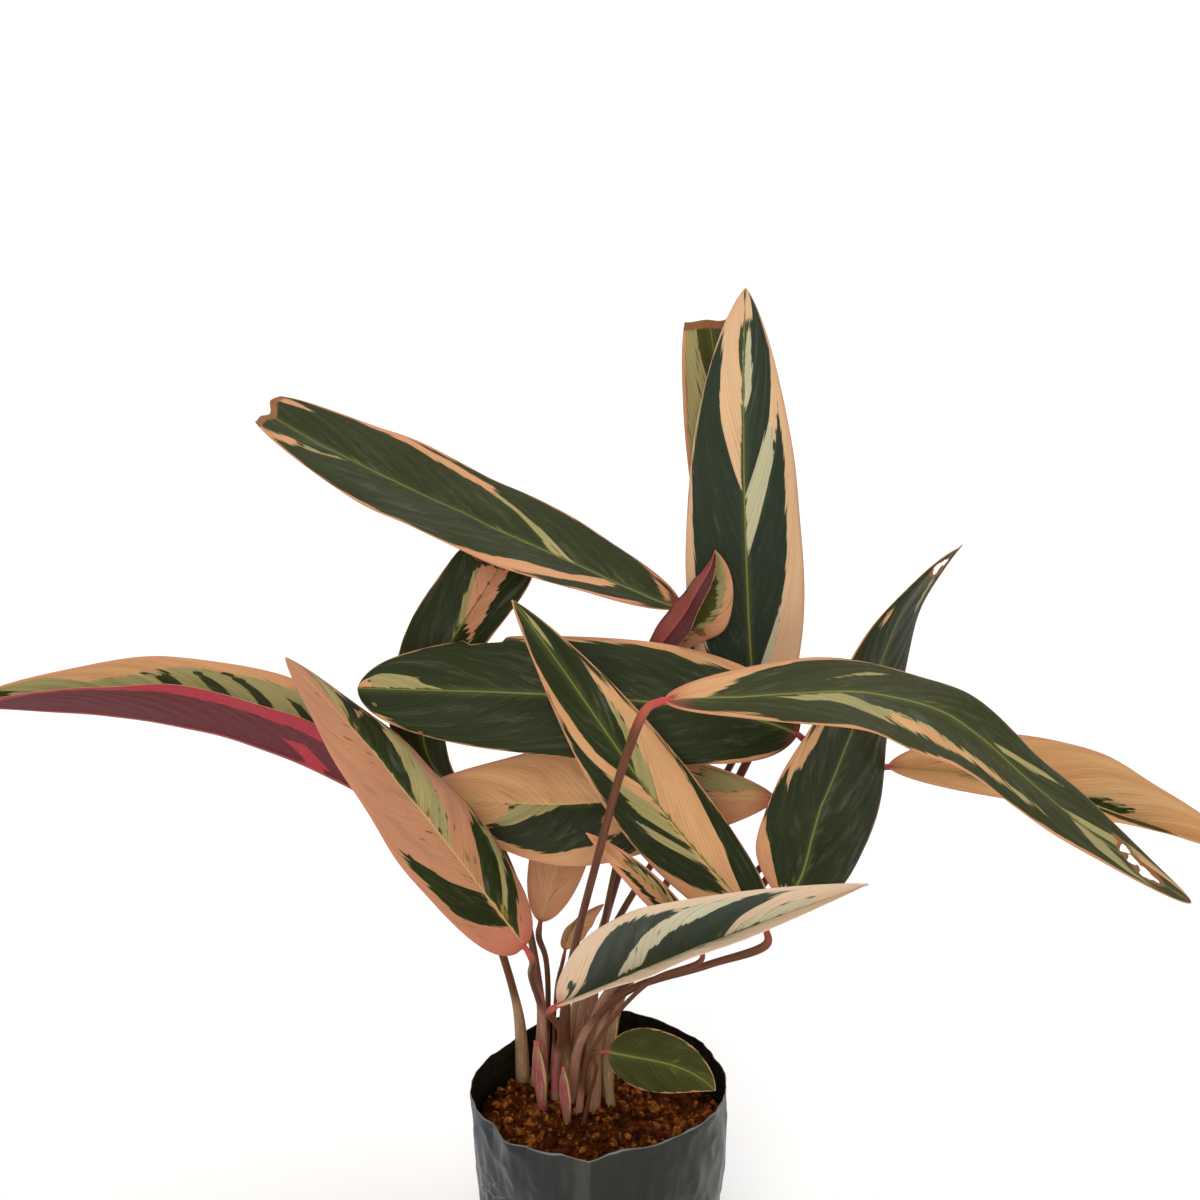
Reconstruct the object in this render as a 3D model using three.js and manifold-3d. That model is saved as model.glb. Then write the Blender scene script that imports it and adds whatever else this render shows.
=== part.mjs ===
// A potted Stromanthe 'Triostar': a clump of eighteen leaves in a soil-filled black plant bag,
// each leaf a stalk that stands in the soil and a blade at its end.
// Millimetres, +Z up. The origin is the centre of the bag's flat bottom; the plant is seen from -Y.
import * as THREE from 'three';
import { mergeVertices } from 'three/addons/utils/BufferGeometryUtils.js';
import Module from 'manifold-3d';

const wasm = await Module();
wasm.setup();

// ---- driving dimensions ----------------------------------------------------------------------

const BAG = {
  height: 130,
  film: 1.0,          // wall thickness of the film, stiffened to stand as a solid
  sides: 32,
  folds: 4,           // gusset folds, which square the round wall a little
  corner: 0.035,      // how far a fold pushes the wall out, per radius
  rimAtFolds: 1.5,    // how far the open rim rises at the folds
  rimSway: 1,         // how far it waves up and down besides
  // radius of the wall at each height, from the flat bottom to the rim
  profile: [[0, 56], [4, 61], [14, 64], [45, 65.5], [80, 67.5], [104, 69.5], [130, 71.5]],
};
const SOIL = {
  level: 105,
  gap: 0.5,           // between the soil and the film
  bump: 1,            // height of the broad humps of the soil's top
  topRings: [1, 0.8, 0.6, 0.4, 0.2],
  holeDepth: 17,      // how deep a stalk stands in the soil
  holeRise: 12,       // how far the hole's cutter stands above it
  holeGap: 0.6,
  holeSides: 10,
};
const STALK = {
  sides: 7,
  steps: 12,
  neck: 9,            // length of the swollen neck under the blade
  turn: 1.4,          // how far the neck has turned into the midrib's line
  seat: 0.9,          // between the neck's end and the blade's base
  // thickness along the stalk, per radius
  sheathed: 1.15,     // at the foot, which the leaf sheath wraps
  bare: 0.8,
  neckSwell: 0.12,
  topTaper: 0.25,
  papery: 0.4,        // at the dry end of a sheath without a leaf
};
const BLADE = {
  thickness: 0.8,
  rows: 16,
  columns: 4,
  arch: 0.1,          // how far the margins curve down, per half width
  ripples: 3,         // waves along each margin
  ripplePhase: 2,     // radians by which each margin's waves run ahead of the midrib's
  baseExponent: 0.55, // roundness of the blade's base
  tipExponent: 0.8,   // 1 is a straight-sided point, less is blunter
  narrowest: 1.3,     // half width where blade meets stalk, and at the tip
};
// Leaves with no roll turn their upper face this way, up and to the front.
const TO_THE_LIGHT = new THREE.Vector3(0, -1, 1).normalize();

// Each leaf: where its stalk leaves the soil (foot), points that the stalk passes, the stalk's
// radius, four points on the midrib from the blade's base to its tip, the blade's greatest width,
// roll about the midrib and the twist added along it, and fold, the upward V of the two halves.
// Angles are in degrees. torn is the share of the blade that is missing at a torn tip. base and tip
// are the leaf's own exponents where its outline is not the usual one.
const LEAVES = [
  {
    name: 'pale_left', foot: [-32, 20], stalk: [[-31, 12, 160], [-36, -10, 201]], radius: 2.2,
    midrib: [[-38, -25, 226], [-79, -9, 278], [-118, 10, 320], [-162, 30, 362]],
    width: 64, roll: 34, twist: 12, fold: 2, ripple: 1, base: 0.4, tip: 0.75,
  },
  {
    name: 'long_right', foot: [-19, 26], stalk: [[-18, 8, 178], [0, -28, 282], [13, -44, 340]],
    radius: 2.7,
    midrib: [[30, -50, 369], [125, -69, 376], [177, -98, 356], [246, -140, 313]],
    width: 59, roll: -24, twist: -16, fold: 8, ripple: 1.6, base: 0.5, tip: 0.55,
  },
  {
    name: 'front_pale', foot: [-25, 18], stalk: [[-24, 8, 136], [-21, -12, 169]], radius: 2.1,
    midrib: [[-21, -32, 197], [20, -51, 228], [56, -73, 258], [120, -95, 298]],
    width: 65, roll: -18, twist: 13, fold: 57, ripple: 0.8,
  },
  {
    name: 'small_low', foot: [-9, -4], stalk: [[-6, -5, 123], [-2, -7, 143]], radius: 1.6,
    midrib: [[4, -10, 155], [23, -18, 156], [42, -28, 157], [59, -40, 152]],
    width: 32, roll: 20, twist: 5, fold: 5, ripple: 0.5,
  },
  {
    name: 'curled_small', foot: [-27, 38], stalk: [[-24, 34, 168], [-21, 32, 182]], radius: 1.3,
    midrib: [[-19, 30, 193], [-15, 30, 205], [-8, 30, 214], [2, 30, 220]],
    width: 17, roll: 20, twist: 60, fold: 40, ripple: 0.6,
  },
  {
    name: 'upper_left', foot: [-14, 44], stalk: [[-5, 56, 163], [24, 74, 260], [49, 80, 331]],
    radius: 2.7,
    midrib: [[44, 80, 374], [-36, 86, 407], [-115, 96, 442], [-191, 110, 482]],
    width: 66, roll: 24, twist: -8, fold: 15, ripple: 1.2, tip: 0.55, torn: 0.045,
  },
  {
    name: 'young_folded', foot: [-7, 40], stalk: [[0, 49, 184], [14, 67, 255]], radius: 2,
    midrib: [[21, 70, 319], [28, 70, 361], [47, 69, 388], [61, 67, 409]],
    width: 64, roll: 100, twist: -32, fold: 62, ripple: 0.8, base: 1.5, tip: 1,
  },
  {
    name: 'upright_tall', foot: [1, 36], stalk: [[8, 42, 160], [44, 66, 226], [77, 74, 274]],
    radius: 2.9,
    midrib: [[87, 78, 306], [80, 80, 382], [76, 86, 468], [76, 96, 543]],
    width: 66, roll: 5, twist: 4, fold: 1, ripple: 1, base: 0.45,
  },
  {
    name: 'upright_back', foot: [-22, 49], stalk: [[-11, 62, 145], [30, 82, 218], [73, 90, 273]],
    radius: 2.6,
    midrib: [[85, 96, 313], [77, 98, 383], [68, 103, 458], [56, 110, 538]],
    width: 43, roll: 0, twist: 0, fold: 4, ripple: 1, tip: 0.35, torn: 0.05,
  },
  {
    name: 'diagonal', foot: [-15, 16], stalk: [[-10, 8, 150], [14, -2, 186], [56, -12, 208]],
    radius: 2.6,
    midrib: [[85, -14, 231], [31, -2, 292], [-3, 8, 339], [-44, 16, 397]],
    width: 46, roll: -19, twist: 10, fold: 3, ripple: 0.8, base: 0.4, tip: 0.75,
  },
  {
    name: 'broad_middle', foot: [-6, 22], stalk: [[4, 18, 172], [74, 18, 221], [111, 24, 290]],
    radius: 2.7,
    midrib: [[103, 26, 321], [32, 32, 336], [-60, 38, 340], [-128, 44, 340]],
    width: 66, roll: -15, twist: 7, fold: 4, ripple: 1.2, base: 0.5, tip: 0.6,
  },
  {
    name: 'broad_lower', foot: [-9, 32], stalk: [[8, 33, 166], [62, 34, 216], [99, 34, 256]],
    radius: 2.6,
    midrib: [[94, 36, 280], [11, 42, 276], [-31, 46, 272], [-100, 50, 277]],
    width: 68, roll: -14, twist: 6, fold: 6, ripple: 1.2, base: 0.65, tip: 0.65,
  },
  {
    name: 'right_dark', foot: [-4, 8], stalk: [[4, 6, 170], [40, 6, 214], [74, 2, 232]],
    radius: 2.7,
    midrib: [[93, -6, 243], [119, 6, 296], [144, 18, 366], [183, 32, 421]],
    width: 75, roll: 29, twist: 54, fold: 3, ripple: 1.2, tip: 1.05,
  },
  {
    name: 'right_tan', foot: [3, 20], stalk: [[16, 25, 176], [96, 34, 221], [139, 40, 274]],
    radius: 2.7,
    midrib: [[154, 42, 296], [231, 53, 281], [295, 62, 256], [378, 70, 224]],
    width: 63, roll: 12, twist: -37, fold: 50, ripple: 1,
  },
  {
    name: 'back_left', foot: [-36, 32], stalk: [[-33, 40, 147], [-45, 64, 206]], radius: 2.8,
    midrib: [[-74, 82, 258], [-98, 88, 315], [-68, 96, 372], [-58, 108, 396]],
    width: 54, roll: -28, twist: 36, fold: 26, ripple: 1.2, base: 0.7, tip: 0.4,
  },
  {
    name: 'far_left', foot: [-44, 36], stalk: [[-47, 32, 160], [-70, 33, 233]], radius: 2.9,
    midrib: [[-97, 34, 265], [-182, 51, 303], [-260, 68, 314], [-358, 84, 314]],
    width: 88, roll: 55, twist: -25, fold: 61, ripple: 1, base: 0.4, tip: 0.7,
  },
  {
    name: 'young_rolled', foot: [-12, 4], stalk: [[-5, -4, 150], [26, -18, 202]],
    radius: 1.8,
    midrib: [[51, -26, 228], [34, -22, 248], [14, -16, 266], [-7, -10, 282]],
    width: 18, roll: -30, twist: 20, fold: 40, ripple: 0.4,
  },
  {
    name: 'low_back', foot: [-33, 47], stalk: [[-30, 53, 136], [-31, 58, 171]], radius: 2.1,
    midrib: [[-34, 62, 192], [-23, 70, 230], [-13, 80, 268], [-6, 88, 307]],
    width: 34, roll: 0, twist: 0, fold: 5, ripple: 0.8,
  },
];

// Old leaf sheaths that have lost their leaf and stand among the stalks.
const SHEATHS = [
  { name: 'tan', foot: [6, 12], stalk: [[4, 10, 135]], top: [9, 8, 172], radius: 2.4 },
  { name: 'pink', foot: [-32, 9], stalk: [[-33, 7, 125]], top: [-35, 4, 152], radius: 2.4 },
  { name: 'short', foot: [-18, -1], stalk: [[-19, -3, 122]], top: [-20, -5, 142], radius: 2 },
];

// ---- closed meshes ---------------------------------------------------------------------------

function closedGeometry(vertices, faces) {
  const geometry = new THREE.BufferGeometry();
  const coordinates = vertices.flatMap((p) => [p.x, p.y, p.z]);
  geometry.setAttribute('position', new THREE.Float32BufferAttribute(coordinates, 3));
  geometry.setIndex(faces.flat());
  return geometry;
}

// Rings of equal length joined in order, closed at both ends by a fan on the given end points.
function ringSolid(rings, firstPoint, lastPoint) {
  const count = rings[0].length;
  const vertices = [...rings.flat(), firstPoint, lastPoint];
  const first = vertices.length - 2;
  const last = vertices.length - 1;
  const faces = [];
  for (let k = 0; k < count; k += 1) {
    const next = (k + 1) % count;
    faces.push([first, next, k]);
    faces.push([last, (rings.length - 1) * count + k, (rings.length - 1) * count + next]);
    for (let ring = 0; ring < rings.length - 1; ring += 1) {
      const a = ring * count + k;
      const b = ring * count + next;
      faces.push([a, b, b + count]);
      faces.push([a, b + count, a + count]);
    }
  }
  return closedGeometry(vertices, faces);
}

// ---- bag and soil ----------------------------------------------------------------------------

function wallRadius(height) {
  const { profile } = BAG;
  const above = profile.findIndex(([level]) => level >= height);
  const [topLevel, topRadius] = profile[Math.max(above, 1)];
  const [lowLevel, lowRadius] = profile[Math.max(above, 1) - 1];
  return THREE.MathUtils.mapLinear(height, lowLevel, topLevel, lowRadius, topRadius);
}

// A ring round the bag at a height, moved in from the outer face by inset.
function wallRing(height, inset, rise = () => 0) {
  return Array.from({ length: BAG.sides }, (_, k) => {
    const angle = (2 * Math.PI * k) / BAG.sides;
    const squared = 1 + BAG.corner * Math.cos(BAG.folds * angle);
    const radius = wallRadius(height) * squared - inset;
    return new THREE.Vector3(
      radius * Math.cos(angle), radius * Math.sin(angle), height + rise(angle),
    );
  });
}

function rimWave(angle) {
  return BAG.rimAtFolds * Math.cos(BAG.folds * angle) + BAG.rimSway * Math.sin(3 * angle + 1);
}

const onAxis = (height) => new THREE.Vector3(0, 0, height);
const innerLevels = BAG.profile.map(([level]) => Math.max(level, BAG.film));

function bagGeometry() {
  const levels = BAG.profile.map(([level]) => level);
  const rise = (level) => (level === BAG.height ? rimWave : undefined);
  const outside = levels.map((level) => wallRing(level, 0, rise(level)));
  const inside = innerLevels.map((level) => wallRing(level, BAG.film, rise(level))).reverse();
  return ringSolid([...outside, ...inside], onAxis(0), onAxis(BAG.film));
}

function soilTop(x, y) {
  const humps = Math.sin(x / 9 + 1) * Math.cos(y / 11);
  const crumbs = 0.5 * Math.sin(x / 4 - y / 5);
  return SOIL.level + SOIL.bump * (humps + crumbs);
}

function soilGeometry() {
  const inset = BAG.film + SOIL.gap;
  const floor = BAG.film + SOIL.gap;
  const levels = innerLevels.filter((level) => level < SOIL.level).map((l) => Math.max(l, floor));
  const wall = levels.map((level) => wallRing(level, inset));
  const top = SOIL.topRings.map((share) => wallRing(SOIL.level, inset).map((p) => {
    const x = p.x * share;
    const y = p.y * share;
    return new THREE.Vector3(x, y, soilTop(x, y));
  }));
  return ringSolid([...wall, ...top], onAxis(floor), onAxis(soilTop(0, 0)));
}

function toSolid(geometry) {
  const bare = geometry.clone();
  bare.deleteAttribute('normal');
  bare.deleteAttribute('uv');
  const merged = mergeVertices(bare, 1e-5);
  return new wasm.Manifold(new wasm.Mesh({
    numProp: 3,
    vertProperties: new Float32Array(merged.attributes.position.array),
    triVerts: new Uint32Array(merged.index.array),
  }));
}

function toGeometry(solid) {
  const mesh = solid.getMesh();
  const geometry = new THREE.BufferGeometry();
  geometry.setAttribute('position', new THREE.BufferAttribute(mesh.vertProperties, 3));
  geometry.setIndex(new THREE.BufferAttribute(mesh.triVerts, 1));
  return geometry;
}

// ---- leaves ----------------------------------------------------------------------------------

const vector = (p) => new THREE.Vector3(...p);

// The cubic curve that passes through four points at 0, 1/3, 2/3 and 1.
function cubicThrough([a, b, c, d]) {
  const handle = (wa, wb, wc, wd) => new THREE.Vector3()
    .addScaledVector(a, wa / 6)
    .addScaledVector(b, wb / 6)
    .addScaledVector(c, wc / 6)
    .addScaledVector(d, wd / 6);
  return new THREE.CubicBezierCurve3(a, handle(-5, 18, -9, 2), handle(2, -9, 18, -5), d);
}

function halfWidth(leaf, u) {
  const base = leaf.base ?? BLADE.baseExponent;
  const tip = leaf.tip ?? BLADE.tipExponent;
  const widest = base / (base + tip);
  const peak = widest ** base * (1 - widest) ** tip;
  const share = (u ** base * (1 - u) ** tip) / peak;
  return Math.max(BLADE.narrowest, (leaf.width / 2) * share);
}

// Directions along, out of and across the blade at u, with roll and twist.
function bladeFrame(leaf, curve, u) {
  const along = curve.getTangent(u);
  const out = TO_THE_LIGHT.clone().addScaledVector(along, -along.dot(TO_THE_LIGHT)).normalize();
  out.applyAxisAngle(along, THREE.MathUtils.degToRad(leaf.roll + leaf.twist * u));
  const across = new THREE.Vector3().crossVectors(along, out);
  return { along, out, across };
}

// The blade's middle surface: u runs from base to tip, v from the left margin to the right one.
function bladePoint(leaf, curve, u, v) {
  const { out, across } = bladeFrame(leaf, curve, u);
  const half = halfWidth(leaf, u);
  const fold = THREE.MathUtils.degToRad(leaf.fold);
  const wave = Math.sin(2 * Math.PI * BLADE.ripples * u + BLADE.ripplePhase * Math.sign(v));
  const lift = half * (Math.abs(v) * Math.sin(fold) - BLADE.arch * v * v)
    + leaf.ripple * v * v * Math.sin(Math.PI * u) * wave;
  return curve.getPoint(u)
    .addScaledVector(across, half * v * Math.cos(fold))
    .addScaledVector(out, lift);
}

function bladeNormal(leaf, curve, u, v) {
  const step = 0.01;
  const du = bladePoint(leaf, curve, Math.min(u + step, 1), v)
    .sub(bladePoint(leaf, curve, Math.max(u - step, 0), v));
  const dv = bladePoint(leaf, curve, u, v + step).sub(bladePoint(leaf, curve, u, v - step));
  return new THREE.Vector3().crossVectors(dv, du).normalize();
}

// Upper and lower face on the same grid, split into triangles alike, and a rim between them.
function bladeGeometry(leaf) {
  const curve = cubicThrough(leaf.midrib.map(vector));
  const { rows, columns, thickness } = BLADE;
  const end = 1 - (leaf.torn ?? 0);
  const upper = [];
  const lower = [];
  for (let row = 0; row <= rows; row += 1) {
    for (let column = 0; column <= columns; column += 1) {
      const u = (end * row) / rows;
      const v = (2 * column) / columns - 1;
      const point = bladePoint(leaf, curve, u, v);
      const normal = bladeNormal(leaf, curve, u, v);
      upper.push(point.clone().addScaledVector(normal, thickness / 2));
      lower.push(point.clone().addScaledVector(normal, -thickness / 2));
    }
  }
  const index = (row, column) => row * (columns + 1) + column;
  const faces = [];
  const under = upper.length;
  for (let row = 0; row < rows; row += 1) {
    for (let column = 0; column < columns; column += 1) {
      const a = index(row, column);
      const b = index(row, column + 1);
      const c = index(row + 1, column + 1);
      const d = index(row + 1, column);
      faces.push([a, b, c], [a, c, d]);
      faces.push([a + under, c + under, b + under], [a + under, d + under, c + under]);
    }
  }
  const rim = [];
  for (let column = 0; column < columns; column += 1) rim.push(index(0, column));
  for (let row = 0; row < rows; row += 1) rim.push(index(row, columns));
  for (let column = columns; column > 0; column -= 1) rim.push(index(rows, column));
  for (let row = rows; row > 0; row -= 1) rim.push(index(row, 0));
  rim.forEach((a, k) => {
    const b = rim[(k + 1) % rim.length];
    faces.push([a, a + under, b + under], [a, b + under, b]);
  });
  return closedGeometry([...upper, ...lower], faces);
}

// The stalk's line: straight out of the soil, past its points, and bent in a short neck towards
// the blade, which it stops just short of.
function stalkLine(leaf) {
  const points = leaf.stalk.map(vector);
  const foot = new THREE.Vector3(leaf.foot[0], leaf.foot[1], SOIL.level);
  const rise = points[0].clone().sub(foot).normalize();
  const root = foot.clone().addScaledVector(rise, -SOIL.holeDepth);
  if (leaf.top) {
    const curve = new THREE.CatmullRomCurve3([root, foot, ...points, vector(leaf.top)]);
    return { root, rise, curve };
  }
  const base = vector(leaf.midrib[0]);
  const along = cubicThrough(leaf.midrib.map(vector)).getTangent(0);
  const arrive = base.clone().sub(points.at(-1)).normalize()
    .addScaledVector(along, STALK.turn).normalize();
  const neck = base.clone().addScaledVector(arrive, -STALK.neck);
  const top = base.clone().addScaledVector(arrive, -STALK.seat);
  return { root, rise, curve: new THREE.CatmullRomCurve3([root, foot, ...points, neck, top]) };
}

// Thick where the leaf sheath wraps the foot, slender above, and swollen again at the neck. A
// sheath without a leaf thins out to a papery end.
function stalkRadius(leaf, t) {
  const { lerp, smoothstep } = THREE.MathUtils;
  if (leaf.top) return leaf.radius * lerp(STALK.sheathed, STALK.papery, t);
  const sheath = lerp(STALK.sheathed, STALK.bare, smoothstep(t, 0.1, 0.45));
  const neck = STALK.neckSwell * smoothstep(t, 0.8, 0.93);
  const taper = STALK.topTaper * smoothstep(t, 0.95, 1);
  return leaf.radius * (sheath + neck - taper);
}

function stalkGeometry(leaf) {
  const { curve, root } = stalkLine(leaf);
  const frames = curve.computeFrenetFrames(STALK.steps, false);
  const rings = [];
  for (let step = 0; step <= STALK.steps; step += 1) {
    const t = step / STALK.steps;
    const centre = curve.getPointAt(t);
    const radius = stalkRadius(leaf, t);
    rings.push(Array.from({ length: STALK.sides }, (_, k) => {
      const angle = (2 * Math.PI * k) / STALK.sides;
      return centre.clone()
        .addScaledVector(frames.normals[step], radius * Math.cos(angle))
        .addScaledVector(frames.binormals[step], radius * Math.sin(angle));
    }));
  }
  return ringSolid(rings, root, curve.getPointAt(1));
}

// What a stalk's hole takes out of the soil: a straight round rod, open at the soil's top.
function holeGeometry(leaf) {
  const { root, rise } = stalkLine(leaf);
  const clear = leaf.radius * STALK.sheathed + SOIL.holeGap;
  const radius = clear / Math.cos(Math.PI / SOIL.holeSides);
  const length = SOIL.holeDepth + SOIL.holeRise;
  const rod = new THREE.CylinderGeometry(radius, radius, length, SOIL.holeSides);
  rod.translate(0, length / 2 - SOIL.holeGap, 0);
  rod.applyQuaternion(new THREE.Quaternion().setFromUnitVectors(new THREE.Vector3(0, 1, 0), rise));
  rod.translate(root.x, root.y, root.z);
  return rod;
}

// ---- the plant -------------------------------------------------------------------------------

const MATERIALS = {
  film: { color: 0x2b3035, roughness: 0.5, metalness: 0 },
  soil: { color: 0x64401f, roughness: 1, metalness: 0 },
  stalk: { color: 0x8a5a4c, roughness: 0.6, metalness: 0 },
  sheath: { color: 0xb07a68, roughness: 0.7, metalness: 0 },
  greenBlade: { color: 0x2f4030, roughness: 0.4, metalness: 0 },
  paleBlade: { color: 0xd9a98a, roughness: 0.45, metalness: 0 },
};
const PALE = ['pale_left', 'front_pale', 'right_tan', 'low_back', 'broad_lower'];

function namedMesh(name, geometry, look) {
  geometry.computeVertexNormals();
  const mesh = new THREE.Mesh(geometry, new THREE.MeshStandardMaterial(MATERIALS[look]));
  mesh.name = name;
  return mesh;
}

const group = new THREE.Group();
group.add(namedMesh('bag', bagGeometry(), 'film'));

const holes = [...LEAVES, ...SHEATHS].map((leaf) => toSolid(holeGeometry(leaf)));
const soil = holes.reduce((solid, hole) => solid.subtract(hole), toSolid(soilGeometry()));
group.add(namedMesh('soil', toGeometry(soil), 'soil'));

for (const leaf of LEAVES) {
  const look = PALE.includes(leaf.name) ? 'paleBlade' : 'greenBlade';
  group.add(namedMesh(`stalk_${leaf.name}`, stalkGeometry(leaf), 'stalk'));
  group.add(namedMesh(`blade_${leaf.name}`, bladeGeometry(leaf), look));
}

for (const sheath of SHEATHS) {
  group.add(namedMesh(`sheath_${sheath.name}`, stalkGeometry(sheath), 'sheath'));
}

export default group;
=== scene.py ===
import math
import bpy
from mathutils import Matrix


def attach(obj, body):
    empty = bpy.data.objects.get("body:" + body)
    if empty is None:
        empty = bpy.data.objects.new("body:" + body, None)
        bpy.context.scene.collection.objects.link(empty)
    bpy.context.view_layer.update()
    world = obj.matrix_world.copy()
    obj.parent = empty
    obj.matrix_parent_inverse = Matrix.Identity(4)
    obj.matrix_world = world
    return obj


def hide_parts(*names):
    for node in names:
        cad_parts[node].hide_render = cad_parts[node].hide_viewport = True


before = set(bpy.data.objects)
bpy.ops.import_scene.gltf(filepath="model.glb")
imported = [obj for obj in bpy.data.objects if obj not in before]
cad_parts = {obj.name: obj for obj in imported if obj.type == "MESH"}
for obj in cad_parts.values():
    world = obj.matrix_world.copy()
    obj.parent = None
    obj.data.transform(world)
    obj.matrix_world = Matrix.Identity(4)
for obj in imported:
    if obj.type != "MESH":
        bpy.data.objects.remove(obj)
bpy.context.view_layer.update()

from types import SimpleNamespace

import bmesh
import bpy
import numpy as np
from mathutils import Vector

# A potted Stromanthe 'Triostar'. Lengths are in millimetres, and a mesh is scaled to metres as it
# is made.

MM = 0.001

# ---- driving dimensions ----

BLADE = {
    "thickness": 0.45,
    "row_spacing": 1.5,
    "crowding": 0.6,          # how far the rows are drawn towards both ends
    "columns": 44,
    "column_power": 1.35,     # over 1, the columns are closer together near the midrib
    "arch": 0.1,
    "ripples": 3,
    "ripple_phase": 2.0,
    "base_exponent": 0.55,
    "tip_exponent": 0.8,
    "narrowest": (1.3, 0.4),  # half width at the base and at the tip
    "rib": (1.3, 0.3),        # radius of the midrib under the blade, at the base and at the tip
    "groove": 0.28,
    "groove_width": 0.9,
    "pleat": 0.22,
    "pleat_length": 7.5,
    "lump": 0.5,
    "lump_length": 45.0,
    "full_lump": 60.0,        # a blade this wide or wider has the full lump
}
STALK = {
    "sides": 24,
    "slim": 0.95,             # radius drawn, per radius of the solids
    "step": 1.6,
    "neck": 9.0,
    "turn": 1.4,
    "seat": 0.9,
    "root_depth": 17.0,
    "sheathed": 1.4,
    "bare": 0.8,
    "neck_swell": 0.12,
    "top_taper": 0.25,
    "papery": 0.4,
    "lobes": 0.03,
    "overlap": 0.3,           # how far the sheath's free edge stands out, per radius
    "edge_winds": 0.12,       # turns that the free edge makes on its way up
    "edge_from": (8, 18),     # length of stalk over which the free edge begins to stand out
    "run_under": 9.0,         # how far the stalk runs on under the midrib
    "flat": 1.1,              # how much wider an old sheath's papery part is
}
SOIL_LEVEL = 105.0
TO_THE_LIGHT = np.array([0.0, -1.0, 1.0]) / math.sqrt(2)
RIM_CURVE = 0.17              # how far the side veins turn towards the tip near the margin

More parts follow.
